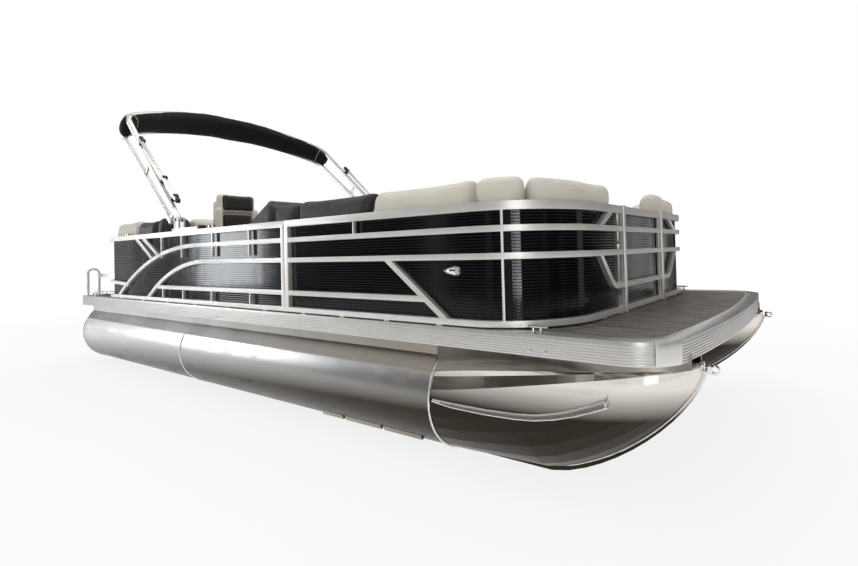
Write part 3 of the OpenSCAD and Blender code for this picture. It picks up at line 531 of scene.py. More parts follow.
def slab(name, points, offset):
    """A flat plate on a closed line of points, extruded by offset."""
    clear_selection()
    bpy.ops.mesh.primitive_circle_add(vertices=len(points), radius=1, fill_type="NGON")
    obj = bpy.context.object
    obj.name = name
    for vertex, at in zip(obj.data.vertices, points):
        vertex.co = at
    bpy.ops.object.mode_set(mode="EDIT")
    bpy.ops.mesh.select_all(action="SELECT")
    bpy.ops.mesh.extrude_region_move(TRANSFORM_OT_translate={"value": offset})
    bpy.ops.mesh.select_all(action="SELECT")
    bpy.ops.mesh.normals_make_consistent(inside=False)
    bpy.ops.object.mode_set(mode="OBJECT")
    return obj


def skinned(name, rows, closed_rows=False, caps=False):
    """A surface through rows of points, all of one length, made from a grid."""
    clear_selection()
    across, along = len(rows[0]), len(rows)
    bpy.ops.mesh.primitive_grid_add(x_subdivisions=across - 1, y_subdivisions=along - 1, size=1)
    obj = bpy.context.object
    obj.name = name
    for k, vertex in enumerate(obj.data.vertices):
        vertex.co = rows[k // across][k % across]
    bpy.ops.object.mode_set(mode="EDIT")
    bpy.ops.mesh.select_all(action="SELECT")
    if closed_rows:
        bpy.ops.mesh.remove_doubles(threshold=1e-6)
    if caps:
        bpy.ops.mesh.select_all(action="DESELECT")
        bpy.ops.mesh.select_non_manifold(extend=False)
        bpy.ops.mesh.edge_face_add() if caps == "one" else bpy.ops.mesh.fill_holes(sides=0)
    bpy.ops.mesh.select_all(action="SELECT")
    bpy.ops.mesh.normals_make_consistent(inside=False)
    bpy.ops.object.mode_set(mode="OBJECT")
    return obj


def modify(obj, kind, **settings):
    pick(obj)
    made = obj.modifiers.new(kind.lower(), kind)
    for setting, value in settings.items():
        setattr(made, setting, value)
    bpy.ops.object.modifier_apply(modifier=made.name)
    return obj


def bevel(obj, width, segments=2, angle=35):
    return modify(obj, "BEVEL", width=width, segments=segments, limit_method="ANGLE",
                  angle_limit=math.radians(angle), use_clamp_overlap=True)


def subdivide(obj, levels=1):
    return modify(obj, "SUBSURF", levels=levels, render_levels=levels)


def smooth(obj, angle=35):
    pick(obj)
    bpy.ops.object.shade_smooth_by_angle(angle=math.radians(angle))
    return obj


def joined(name, pieces):
    clear_selection()
    for piece in pieces:
        piece.select_set(True)
    bpy.context.view_layer.objects.active = pieces[0]
    if len(pieces) > 1:
        bpy.ops.object.join()
    bpy.context.object.name = name
    return bpy.context.object


def moved(obj, matrix):
    obj.data.transform(matrix)
    obj.data.update()
    return obj


def copied(obj, name, matrix):
    """A copy with its own mesh, moved by a matrix, its faces turned outwards again after a mirror."""
    new = obj.copy()
    new.data = obj.data.copy()
    new.name = name
    bpy.context.scene.collection.objects.link(new)
    new.data.transform(matrix)
    if matrix.determinant() < 0:
        new.data.flip_normals()
    new.data.update()
    return new


def mirrored(obj, name):
    return copied(obj, name, Matrix.Diagonal((1, -1, 1, 1)))


def side_of(sign, obj, name):
    """Names a piece made to starboard, and mirrors it where sign is that of port."""
    obj.name = name
    if sign > 0:
        moved(obj, Matrix.Diagonal((1, -1, 1, 1)))
        obj.data.flip_normals()
    return obj


def finish(obj, body, look, slot=None, stands_for=()):
    """Gives a piece its material and its body, and hides the CAD nodes it stands for. The slot argument is
    not used.
    """
    obj.data.materials.clear()
    obj.data.materials.append(look.material)
    if stands_for:
        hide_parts(*stands_for)
    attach(obj, body)
    return obj


def pair(obj, name, body, look, slot=None, stands_for=()):
    """Finishes a starboard piece and its mirror image to port."""
    stands = [tuple(f"{s}_{n}" for n in stands_for) for s in SIDES]
    other = mirrored(obj, "port_" + name)
    obj.name = "starboard_" + name
    finish(obj, body, look, slot, stands[0])
    finish(other, body, look, slot, stands[1])


def softened(node, width=0.003, segments=2, look=None, angle=35):
    """The CAD node's shape with its sharp edges rounded, as an extrusion or a casting has them."""
    source = nodes[node]
    obj = source.copy()
    obj.data = source.data.copy()
    for key in list(obj.keys()):
        del obj[key]
    obj.parent = None
    obj.matrix_world = Matrix.Identity(4)
    obj.name = node + "_shaped"
    bpy.context.scene.collection.objects.link(obj)
    obj.hide_render = False
    pick(obj)
    bpy.ops.object.mode_set(mode="EDIT")
    bpy.ops.mesh.select_all(action="SELECT")
    bpy.ops.mesh.remove_doubles(threshold=0.00002)
    bpy.ops.mesh.dissolve_limited(angle_limit=math.radians(0.6))
    bpy.ops.object.mode_set(mode="OBJECT")
    bevel(obj, width, segments, angle)
    smooth(obj, 40)
    slot = slot_of_node[node]
    return finish(obj, body_of_node[node], look or FINISH_OF_SLOT[slot], slot, (node,))


# %% [markdown]
# The rails, gates, ladder and brackets are already right in the CAD, but their edges are razor
# sharp. A real extrusion has a small radius on every edge, and that radius is what catches the
# light. So each one is copied, its loose triangles are merged into whole faces, and its edges are
# bevelled.

# %% Rounded extrusions
for node in ("starboard_aft_fence_frame", "starboard_bow_fence_frame", "port_aft_fence_frame",
             "port_bow_fence_frame", "bow_gate_frame", "side_gate_frame", "stern_gate_frame"):
    softened(node, 0.005, 3)
for node in ("boarding_ladder", "ladder_handrails", "bimini_mounts", "bimini_struts", "bimini_bows"):
    softened(node, 0.004, 3)
softened("deck_trim", 0.006, 3, trim)
softened("motor_clamp_bracket", 0.004, 2)
softened("motor_swivel_bracket", 0.005, 2)

# %% [markdown]
# Seen close to, each rail has three flat ribs with two fine grooves between them, and the top rail
# has four. Ribs are easier to make than grooves: thin bars are sunk into the rail's outer face so
# that only their tops stand proud. A run is a list of points on the face, each with the direction
# that points outwards, and the ribs are set off sideways from it.

# %% Lines of the fence
FENCE_Y = -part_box("starboard_aft_fence_frame")[0].y
BOW_X = st(6.147)
BOW_ARC = (st(5.647), -0.785, 0.5)
STERN_ARC = (st(0.867), -1.205, 0.08)
SKIN_IN = 0.0323
GATE_HALF = 0.366
LEVELS = {"bottom": 0.785, "low": 0.898, "brace": 0.928, "second": 1.123, "first": 1.261, "top": 1.3745}


def bow_run(inset, x0, y1, z=0.0, steps=18):
    """Points and outward directions along the starboard fence from x0 round the bow to y1."""
    cx, cy, r = BOW_ARC
    run = [((x0, -FENCE_Y + inset), (0, -1))]
    for i in range(steps + 1):
        a = math.radians(-90 + 90 * i / steps)
        run.append(((cx + (r - inset) * math.cos(a), cy + (r - inset) * math.sin(a)),
                    (math.cos(a), math.sin(a))))
    run.append(((BOW_X - inset, y1), (1, 0)))
    return [(Vector((*p, z)), Vector((*n, 0))) for p, n in run]


def stern_run(inset, x1, y0, z=0.0, steps=9):
    cx, cy, r = STERN_ARC
    run = [((st(0.787) + inset, y0), (-1, 0))]
    for i in range(steps + 1):
        a = math.radians(180 + 90 * i / steps)
        run.append(((cx + (r - inset) * math.cos(a), cy + (r - inset) * math.sin(a)),
                    (math.cos(a), math.sin(a))))
    run.append(((x1, -FENCE_Y + inset), (0, -1)))
    return [(Vector((*p, z)), Vector((*n, 0))) for p, n in run]


def side_line(*points):
    """A run in the plane of the starboard fence's outer face, from (station, height) points."""
    return [(Vector((st(x), -FENCE_Y, z)), Vector((0, -1, 0))) for x, z in points]


def front_line(*points):
    return [(Vector((BOW_X, y, z)), Vector((1, 0, 0))) for y, z in points]


def arch_line(centre, radius, steps=20):
    """A run down a curved rail, from its level end to where it meets the bottom rail."""
    end = math.acos((LEVELS["bottom"] - centre[1]) / radius)
    turn = [math.pi / 2 + end * i / steps for i in range(steps + 1)]
    return side_line(*[(centre[0] + radius * math.cos(a), centre[1] + radius * math.sin(a)) for a in turn])


def ribs(name, runs, offsets, radius, proud, roundness=1):
    lines = []
    for run in runs:
        for offset in offsets:
            line = []
            for i, (at, out) in enumerate(run):
                before, after = run[max(i - 1, 0)][0], run[min(i + 1, len(run) - 1)][0]
                across = (after - before).normalized().cross(out)
                line.append(at + out * (proud - radius) + across * offset)
            lines.append(line)
    return bar(name, lines, radius, roundness)


RIB_OFFSETS = (-0.0095, 0, 0.0095)
TOP_OFFSETS = (-0.0155, -0.0052, 0.0052, 0.0155)
RIB_R, RIB_PROUD = 0.0052, 0.0011
SHEET_RIB_R, SHEET_RIB_PROUD = 0.0042, 0.0016
arch_outer = arch_line((2.702, 1.261 - 3.092), 3.092)
arch_inner = arch_line((2.879, 1.123 - 1.995), 1.995)
slants = [side_line((1.52, 1.352), (1.885, 1.155)), side_line((1.67, 1.352), (2.005, 1.19))]
JOINT = 4.039
aft_runs = {side: [side_line((2.702, 1.261), (end, 1.261)), side_line((2.879, 1.123), (end, 1.123)),
                   side_line((1.99, 0.898), (end, 0.898)), arch_outer, arch_inner, *slants]
            for side, end in (("starboard", JOINT - 0.042), ("port", 3.25))}
bow_runs = {side: [bow_run(0, st(x0 + 0.04), -GATE_HALF - 0.02, LEVELS[z]) for z in ("first", "second")]
            + [side_line((x0 + 0.04, 0.898), (5.349, 0.898)), side_line((5.046, 1.123), (5.507, 0.785)),
               front_line((-0.74, 1.261), (-0.575, 1.352)), front_line((-0.74, 1.123), (-0.60, 0.975)),
               front_line((-0.53, 0.928), (-0.372, 0.928))]
            for side, x0 in (("starboard", JOINT), ("port", 3.95))}
for side, sign in SIDES.items():
    aft_x = JOINT if side == "starboard" else 3.29
    stern_y = -0.33 if side == "starboard" else -0.27
    bow_x0 = JOINT if side == "starboard" else 3.95
    bottoms = [stern_run(0, st(aft_x), stern_y, LEVELS["bottom"]),
               bow_run(0, st(bow_x0), -GATE_HALF - 0.02, LEVELS["bottom"])]
    tops = [stern_run(0, st(aft_x), stern_y, LEVELS["top"]),
            bow_run(0, st(bow_x0), -GATE_HALF - 0.02, LEVELS["top"])]
    made = [ribs("rail_ribs", aft_runs[side] + bow_runs[side] + bottoms, RIB_OFFSETS, RIB_R, RIB_PROUD),
            ribs("top_ribs", tops, TOP_OFFSETS, RIB_R, RIB_PROUD)]
    whole = smooth(joined(side + "_rail_ribs", made), 60)
    finish(side_of(sign, whole, whole.name), "hull", rail, "rail_aluminium")

# %% [markdown]
# The fence's skin is a thin ribbed sheet. Its ribs are rolled into it from end to end, about 16 mm
# apart, and they turn each reflection into a ladder of short bright dashes. The ribs follow the
# sheet round the corners and where it rolls inboard beside the gate posts.

# %% Ribbed skins
SKIN_LOW, SKIN_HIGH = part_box("fence_skins")[0].z + 0.008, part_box("fence_skins")[1].z - 0.006
RIB_PITCH = 0.016
rib_levels = [SKIN_LOW + i * RIB_PITCH for i in range(int((SKIN_HIGH - SKIN_LOW) / RIB_PITCH) + 1)]


def raised(run, z):
    return [(Vector((at.x, at.y, z)), out) for at, out in run]


def rolled(y1):
    """The roll of the bow skin beside the gate post."""
    cx, cy, r = BOW_X - SKIN_IN - 0.055, y1, 0.055
    turn = [math.radians(a) for a in range(10, 91, 16)]
    return [(Vector((cx + r * math.cos(a), cy + r * math.sin(a), 0)), Vector((math.cos(a), math.sin(a), 0)))
            for a in turn]


for side, sign in SIDES.items():
    aft_x = JOINT - 0.002 if side == "starboard" else 3.278
    stern_y = -0.342 if side == "starboard" else -0.282
    bow_x0 = JOINT + 0.002 if side == "starboard" else 3.962
    sheets = [stern_run(SKIN_IN, st(aft_x), stern_y), bow_run(SKIN_IN, st(bow_x0), -0.429) + rolled(-0.429)]
    whole = smooth(ribs("skin_ribs", [raised(s, z) for s in sheets for z in rib_levels], (0,), SHEET_RIB_R,
                        SHEET_RIB_PROUD), 60)
    finish(side_of(sign, whole, side + "_skin_ribs"), "hull", enamel, "black_skin")

# %% [markdown]
# Each gate is a small piece of the same fence on its own hinge, so its ribs ride on the gate's own
# body. A gate is easiest to draw lying along X from its hinge, and then to turn into place.

# %% Ribs of the gates
HINGE_IN, GAP, LATCH_R = 0.015, 0.008, 0.045
GATES = {"bow_gate": (0.732, (BOW_X - 0.047, -GATE_HALF + 0.004), 90),
         "stern_gate": (0.600, (st(0.787) + 0.047, 0.266), -90),
         "side_gate": (0.660, (st(3.946), FENCE_Y - 0.047), 180)}
for gate, (width, hinge, turn) in GATES.items():
    place = Matrix.Translation((*hinge, 0)) @ Matrix.Rotation(math.radians(turn), 4, "Z")
    face = -HINGE_IN - 0.032
    x0, x1 = GAP / 2, GAP / 2 + width - 2 * GAP
    bars = [[(Vector((x, face, z)), Vector((0, -1, 0))) for x in (x0, x1)]
            for z in (LEVELS["bottom"], LEVELS["brace"], LEVELS["second"], LEVELS["first"])]
    top = [[(Vector((x, face, LEVELS["top"])), Vector((0, -1, 0))) for x in (x0, x1)]]
    made = [ribs("a", bars, RIB_OFFSETS, RIB_R, RIB_PROUD),
            ribs("b", top, TOP_OFFSETS, RIB_R, RIB_PROUD)]
    whole = moved(smooth(joined(gate + "_rail_ribs", made), 60), place)
    finish(whole, gate, rail, "rail_aluminium")
    skin_y, end = -HINGE_IN + 0.0003, width - 2 * GAP - 0.008
    sheet = [(Vector((GAP / 2 + 0.014, skin_y, 0)), Vector((0, -1, 0)))]
    for a in range(-90, -9, 16):
        a = math.radians(a)
        out = Vector((math.cos(a), math.sin(a), 0))
        sheet.append((Vector((GAP / 2 + end - LATCH_R, skin_y + LATCH_R, 0)) + out * LATCH_R, out))
    whole = ribs(gate + "_skin_ribs", [raised(sheet, z) for z in rib_levels], (0,), SHEET_RIB_R,
                 SHEET_RIB_PROUD)
    finish(moved(smooth(whole, 60), place), gate, enamel, "black_skin")

# %% [markdown]
# The deck's edge trim is a tall extrusion with eight shallow ribs that also serve as the rub rail.
# A smooth cast cap covers the mitre at each bow corner, and pairs of screws hold the trim by the
# cleats. The outline below is the deck's own edge, moved inward by `d`.

# %% Deck trim
DECK_L, HALF_W, BULGE, DECK_R = 6.74, 1.295, 0.095, 0.23


def bow_edge(y):
    return DECK_L - BULGE * (y / HALF_W) ** 2


def deck_half(d, fine=14):
    """The starboard half of the deck's edge from the stern corner to the middle of the bow."""
    s, r = 0.04 - min(d, 0.03), DECK_R - d
    line = [(d + s + s * math.cos(a), -HALF_W + d + s + s * math.sin(a))
            for a in (math.radians(180 + 15 * i) for i in range(7))]
    cx = bow_edge(HALF_W - DECK_R) - DECK_R
    line += [(cx + r * math.cos(a), -HALF_W + d + r + r * math.sin(a))
             for a in (math.radians(270 + 82 * i / fine) for i in range(fine + 1))]
    line += [(bow_edge(y) - d, y) for y in (-(HALF_W - DECK_R - 0.02) * (1 - i / 8) for i in range(9))]
    return [Vector((st(x), y, 0)) for x, y in line]


TRIM_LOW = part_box("deck_trim")[0].z
half = deck_half(0.0035)
outline = half + [Vector((p.x, -p.y, 0)) for p in reversed(half[:-1])]
levels = [TRIM_LOW + 0.009 + 0.0122 * i for i in range(7)]
rub_ribs = bar("trim_ribs", [[p + Vector((0, 0, z)) for p in outline] for z in levels], 0.0056, 2,
               closed=True)
finish(smooth(rub_ribs, 60), "hull", trim, "rail_aluminium")

corner = deck_half(-0.0035, 20)[7:28]
start, stop = 9, 17
rows = []
for z, out in ((TRIM_LOW - 0.001, 0.000), (TRIM_LOW + 0.008, 0.004), (TRIM_LOW + 0.05, 0.006),
               (LIP_Z - 0.012, 0.005), (LIP_Z - 0.002, 0.001), (LIP_Z + 0.0015, -0.010),
               (LIP_Z + 0.001, -0.022)):
    row = []
    for i in range(start, stop + 1):
        before, after = corner[i - 1], corner[i + 1]
        along = (after - before).normalized()
        normal = Vector((along.y, -along.x, 0))
        row.append(corner[i] + normal * out + Vector((0, 0, z)))
    rows.append(row)
cap = skinned("corner_cap", rows)
modify(cap, "SOLIDIFY", thickness=0.004, offset=-1)
subdivide(smooth(cap, 60), 1)
pair(cap, "corner_cap", "hull", rail, "rail_aluminium")


def screw(name, at, out, radius=0.006):
    """A pan-head screw seen from outside, its head standing off the face."""
    head = drum(name, (0, 0, 0), radius, radius * 0.7, sides=12)
    bevel(head, radius * 0.3, 2)
    turn = Vector((0, 0, 1)).rotation_difference(Vector(out)).to_matrix().to_4x4()
    return moved(head, Matrix.Translation(Vector(at) + Vector(out) * radius * 0.3) @ turn)


screws = [screw("s", (st(x), -HALF_W - 0.0015, 0.681), (0, -1, 0))
          for x in (6.02, 6.10, 0.26, 0.34, 3.1, 3.14)]
screws += [screw("s", (st(0.2 + 0.406 * i), -1.2032, 0.642), (0, -1, 0), 0.007) for i in range(13)]
pair(smooth(joined("screws", screws), 40), "trim_screws", "hull", chrome, "bright_metal")

# %% [markdown]
# The pontoons are rolled and welded from sheets, so there is a bead of weld wherever two sheets
# meet, and along each side of the keel bar on the nose. A torus makes a bead. Its rings are pushed
# in and out a little to look like the ripples of a hand-laid weld.

# %% Welds and strakes
KEEL_Y, TUBE_R, AXIS_Z = -0.978, 0.3175, 0.3425


def ripple_bead(obj, size, scale=90):
    for vertex in obj.data.vertices:
        shift = noise.noise(vertex.co * scale)
        vertex.co += vertex.normal * shift * size
    return obj


beads = []
for x in (0.052, 2.46, 5.374):
    clear_selection()
    bpy.ops.mesh.primitive_torus_add(major_radius=TUBE_R + 0.001, minor_radius=0.0065, major_segments=180,
                                     minor_segments=8, location=(st(x), KEEL_Y, AXIS_Z),
                                     rotation=(0, math.pi / 2, 0))
    beads.append(ripple_bead(settle(bpy.context.object), 0.0028))
nose = nodes["starboard_nose_cone"]


def on_nose(x, z, side=-1):
    """Where a level line from outside meets the nose cone's skin."""
    hit, at, out, _ = nose.ray_cast(Vector((x, KEEL_Y + side * 0.6, z)), Vector((0, -side, 0)))
    return (at, out) if hit else (None, None)


NOSE_X, NOSE_L = 5.375, 1.34


def stem(t):
    """The keel bar's height along the nose."""
    u = max(0.0, (NOSE_L * t - 0.42 * NOSE_L) / (0.58 * NOSE_L))
    return 0.025 + 0.575 * (1 - max(0.0, 1 - u**1.5) ** 0.7)


stem_line = [Vector((st(NOSE_X + NOSE_L * t), 0, stem(t)))
             for t in (1 - (1 - i / 44) ** 1.7 for i in range(45))]
for side in (-1, 1):
    line = [p + Vector((0.001, KEEL_Y + side * 0.0105, 0.004)) for p in stem_line]
    beads.append(ripple_bead(bar("b", [line], 0.0045, 2), 0.002))
    keel = [Vector((st(0.1 + 0.05 * i), KEEL_Y + side * 0.0205, 0.0262)) for i in range(106)]
    beads.append(ripple_bead(bar("b", [keel], 0.004, 1), 0.002))
pair(smooth(joined("beads", beads), 70), "weld_beads", "hull", weld, "polished_aluminium")

# %% [markdown]
# Three strips stand on each tube: the bright flange where the riser's skirt is welded to the
# shoulder, a lifting strake low on the outside, and a splash fin on the nose that throws water
# down. The fin's foot must follow the nose's curved skin, so rays are cast at it to find the line.

# %% Flange, strake and fin


def on_tube(x, angle, out=0.0):
    """A point on the tube, at an angle below the horizontal on its outer side."""
    a = math.radians(angle)
    return Vector((st(x), KEEL_Y - (TUBE_R + out) * math.cos(a), AXIS_Z - (TUBE_R + out) * math.sin(a)))


rows = []
for x in [0.06 + 0.2 * i for i in range(27)] + [5.368]:
    rows.append([on_tube(x, -a, out) for a, out in
                 ((46.5, 0.014), (29.5, 0.0085), (28.4, 0.0005), (33, 0.0002), (46.5, 0.0002),
                  (46.5, 0.014))])
flange = skinned("flange", rows, closed_rows=True, caps=True)
pair(smooth(flange, 30), "riser_flange", "hull", panel, "satin_aluminium")

strake = []
for x0, x1 in ((4.28, 4.50), (4.52, 4.86), (4.88, 5.2)):
    foot = [on_tube(x, a, -0.002) for x in (x0, x1) for a in (49, 56)]
    top = [on_tube(x, 53, 0.018) for x in (x0 + 0.015, x1 + 0.015)]
    rows = [[foot[0], top[0], foot[1], foot[0]], [foot[2], top[1], foot[3], foot[2]]]
    strake.append(bevel(skinned("strake", rows, closed_rows=True, caps=True), 0.004, 2))
pair(smooth(joined("strake", strake), 30), "lifting_strake", "hull", panel, "satin_aluminium")

FIN = [(5.40, 0.362, 0.010), (5.55, 0.362, 0.026), (5.75, 0.361, 0.030), (5.92, 0.364, 0.032),
       (6.02, 0.372, 0.034),
       (6.12, 0.392, 0.038), (6.22, 0.422, 0.042), (6.30, 0.452, 0.044), (6.36, 0.476, 0.044)]
rows, beads = [], []
for x, z, wide in FIN:
    at, out = on_nose(st(x), z)
    level = Vector((out.x, out.y, 0)).normalized()
    lower, upper = Vector((0, 0, -0.003)), Vector((0, 0, 0.003))
    edge = at + level * wide + Vector((0, 0, -0.35 * wide))
    rows.append([at - level * 0.004 + lower, edge + lower, edge + upper, at - level * 0.004 + upper,
                 at - level * 0.004 + lower])
    beads.append(at + out * 0.001 + Vector((0, 0, 0.004)))
fin = skinned("fin", rows, closed_rows=True, caps=True)
end_x, end_z, _ = FIN[-1]
at, out = on_nose(st(end_x), end_z)
plate = slab("end", [at + Vector((0, 0.006, 0.016)), at + Vector((0, -0.046, 0.006)),
                     at + Vector((0, -0.046, -0.024)), at + Vector((0, 0.006, -0.020))], (0.005, 0, 0))
pair(smooth(bevel(joined("fin", [fin, plate]), 0.0015, 2), 30), "splash_fin", "hull", weld,
     "polished_aluminium")
pair(smooth(ripple_bead(bar("b", [beads], 0.0045, 2), 0.002), 70), "fin_weld", "hull", weld,
     "polished_aluminium")

# %% [markdown]
# Ahead of the tube the riser's skirt carries on as a bent plate that closes the wedge between the
# nose and the deck. Its lower edge lies on the nose, which drops and narrows ahead of it. Rays cast
# down on the nose give the height of that edge at each station.

# %% Skirt over the nose
rows = []
for i in range(25):
    ahead_by = 1.31 * i / 24
    x, z = st(5.372 + ahead_by), 0.505 + 0.137 * ahead_by - 0.039 * ahead_by**2
    at, out = on_nose(x, z) if i else (on_tube(5.372, -30.8), Vector((0, -1, 0)))
    face = max(at.y, -1.212)
    rows.append([at + out * 0.003, Vector((x, min(face, at.y + 0.02), z + 0.03)),
                 Vector((x, face, z + 0.06)), Vector((x, face, 0.688))])
skirt = skinned("skirt", rows)
modify(skirt, "SOLIDIFY", thickness=0.005, offset=0)
inner = copied(skirt, "inner", Matrix.Translation((0, 2 * KEEL_Y, 0)) @ Matrix.Diagonal((1, -1, 1, 1)))
pair(smooth(joined("skirt", [skirt, inner]), 50), "nose_skirt", "hull", panel, "satin_aluminium")
print("hull details done")

# %% [markdown]
# Cushions are foam in a sewn vinyl cover. The foam pushes outwards and the seams hold, so a cushion
# is fullest in the middle of each face and pulls in towards its seams. The cloth solver gives that:
# the shape is remeshed into even squares, blown up a little with pressure and no gravity, and then
# no point may have moved further than a cap.

# %% Swelling a cushion
FRAMES = 20
PRESSURE = 4.0


def swell(obj, cell, cap, floor_z=None):
    modify(obj, "REMESH", mode="VOXEL", voxel_size=cell)
    modify(obj, "CORRECTIVE_SMOOTH", factor=0.5, iterations=3, use_only_smooth=True)
    rest = [v.co.copy() for v in obj.data.vertices]
    cloth = obj.modifiers.new("cloth", "CLOTH")
    cloth.settings.use_pressure = True
    cloth.settings.uniform_pressure_force = PRESSURE
    cloth.settings.effector_weights.gravity = 0
    cloth.settings.quality = 4
    cloth.collision_settings.use_collision = False
    for frame_number in range(1, FRAMES + 1):
        bpy.context.scene.frame_set(frame_number)
    swollen = obj.evaluated_get(bpy.context.evaluated_depsgraph_get())
    moved_to = [v.co.copy() for v in swollen.data.vertices]
    obj.modifiers.remove(cloth)
    bpy.context.scene.frame_set(1)
    for vertex, start, end in zip(obj.data.vertices, rest, moved_to):
        shift = end - start
        if shift.length > cap:
            shift *= cap / shift.length
        vertex.co = start + shift
        if floor_z is not None:
            vertex.co.z = max(vertex.co.z, floor_z)
    subdivide(obj, 1)
    pick(obj)
    bpy.ops.object.shade_smooth()
    return obj


# %% [markdown]
# A backrest is a long run of separate cushions that follow the fence, each with a rounded top. Its
# section is drawn once and swept along the run. The ends of each cushion are drawn in to a rounded
# nose, and where two colours meet the seam leans, so the top of the section is slid along the run.

# %% Sweeping a backrest


def back_section(width, height, low_r=0.018, out_r=0.060, in_r=0.075, steps=5):
    """A rounded section: x runs inboard from the fence, y runs up."""
    loop = []
    for (cx, cy, r, a0) in ((low_r, low_r, low_r, 180), (width - low_r, low_r, low_r, 270),
                            (width - in_r, height - in_r, in_r, 0), (out_r, height - out_r, out_r, 90)):
        for i in range(steps + 1):
            a = math.radians(a0 + 90 * i / steps)
            loop.append((cx + r * math.cos(a), cy + r * math.sin(a)))
    return loop


def spread(run, step=0.05):
    """The run's points at even steps, each with its outward and forward directions."""
    made = []
    for (a, na), (b, nb) in zip(run, run[1:]):
        count = max(1, round((b - a).length / step))
        for i in range(count):
            t = i / count
            made.append((a.lerp(b, t), na.lerp(nb, t).normalized()))
    made.append(run[-1])
    return made


def back_cushion(name, run, width, low, high, lean=(0, 0), nose_r=0.028):
    """A cushion along a run of (point, outward) pairs. lean slides its top along the run at each end."""
    points = spread(run)
    loop = back_section(width, high - low)
    rows = []
    total = len(points) - 1
    for i, (at, out) in enumerate(points):
        before, after = points[max(i - 1, 0)][0], points[min(i + 1, total)][0]
        along = (after - before).normalized()
        share = i / total
        shifts = [(0, 0)]
        if i == 0:
            shifts = [(0.55, 0.0), (0.22, nose_r * 0.25), (0.06, nose_r * 0.7), (0, nose_r)]
        elif i == total:
            shifts = [(0, -nose_r), (0.06, -nose_r * 0.7), (0.22, -nose_r * 0.25), (0.55, 0.0)]
        for inset, slide in shifts:
            row = []
            for x, y in loop:
                x = width / 2 + (x - width / 2) * (1 - inset * 0.55)
                y = (high - low) / 2 + (y - (high - low) / 2) * (1 - inset * 0.30)
                slant = (y / (high - low) - 0.5) * (lean[0] * (1 - share) + lean[1] * share)
                row.append(at - out * x + along * (slide + slant) + Vector((0, 0, low + y)))
            rows.append(row + row[:1])
    return skinned(name, rows, closed_rows=True, caps=True)


WALL_IN, BACK_T = 0.046, 0.165
SEAT_LOW, SEAT_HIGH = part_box("starboard_bow_seat")[0].z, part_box("starboard_bow_seat")[1].z
BACK_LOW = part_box("starboard_bow_backrest")[0].z
BOW_BACK = BACK_LOW + 0.356
AFT_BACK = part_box("starboard_aft_backrest")[1].z
PUFF = 0.012


def side_run(x0, x1):
    return [(Vector((st(x), -FENCE_Y + WALL_IN + PUFF, 0)), Vector((0, -1, 0))) for x in (x0, x1)]


def corner_run(a0, a1, y1=None):
    cx, cy, r = BOW_ARC
    run = []
    for i in range(9):
        a = math.radians(a0 + (a1 - a0) * i / 8)
        out = Vector((math.cos(a), math.sin(a), 0))
        run.append((Vector((cx, cy, 0)) + out * (r - WALL_IN - PUFF), out))
    if y1 is not None:
        run.append((Vector((BOW_X - WALL_IN - PUFF, y1, 0)), Vector((1, 0, 0))))
    return run


def end_run(x, y0, y1, out):
    return [(Vector((st(x), y, 0)), Vector((out, 0, 0))) for y in (y0, y1)]


def cushion(obj, look, slot, stands_for=(), body="hull"):
    finish(obj, body, look, slot, stands_for)
    return obj


CELL = 0.019
width = BACK_T - 2 * PUFF
low, high = BACK_LOW + 0.002, BOW_BACK - 0.008
BOW_SECTIONS = {
    "starboard": [("a", side_run(3.815, 4.092), charcoal, (0, 0.02), 0.012),
                  ("b", side_run(4.10, 4.838), charcoal, (0.02, 0.09), 0),
                  ("c", side_run(4.846, 5.642), beige, (0.09, 0.0), 0),
                  ("d", corner_run(-89, -52), beige, (0, 0), 0),
                  ("e", corner_run(-51, 0, -0.442), beige, (0, 0), 0)],
    "port": [("a", side_run(4.165, 4.835), charcoal, (0, 0.09), 0),
             ("c", side_run(4.843, 5.642), beige, (0.09, 0.0), 0),
             ("d", corner_run(-89, -52), beige, (0, 0), 0),
             ("e", corner_run(-51, 0, -0.70), beige, (0, 0), 0)]}
for side, sign in SIDES.items():
    node = side + "_bow_backrest"
    for k, (tag, run, look, lean, drop) in enumerate(BOW_SECTIONS[side]):
        obj = back_cushion("c", run, width, low, high - drop, lean)
        swell(side_of(sign, obj, f"{side}_bow_back_{tag}"), CELL, PUFF, BACK_LOW)
        cushion(obj, look, "beige_vinyl", (node,) if k == 0 else ())
    arm_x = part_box(node)[0].x - STERN
    arm = back_cushion("c", end_run(arm_x + PUFF, -FENCE_Y + WALL_IN + PUFF, -0.675 - PUFF, -1), width, low,
                       high + 0.016)
    swell(side_of(sign, arm, side + "_bow_arm"), CELL, PUFF, BACK_LOW)
    cushion(arm, beige if sign > 0 else charcoal, "beige_vinyl")
bolster = back_cushion("c", [(Vector((BOW_X - WALL_IN - PUFF, y, 0)), Vector((1, 0, 0)))
                             for y in (-0.69, -0.445)],
                       width, low, high + 0.016, nose_r=0.05)
cushion(swell(side_of(1, bolster, "port_bow_bolster"), 0.014, 0.018, BACK_LOW), beige, "beige_vinyl")

# %% [markdown]
# The aft lounges are made the same way. Their backrests turn the tight stern corner, so the corner
# is its own rounded cushion.

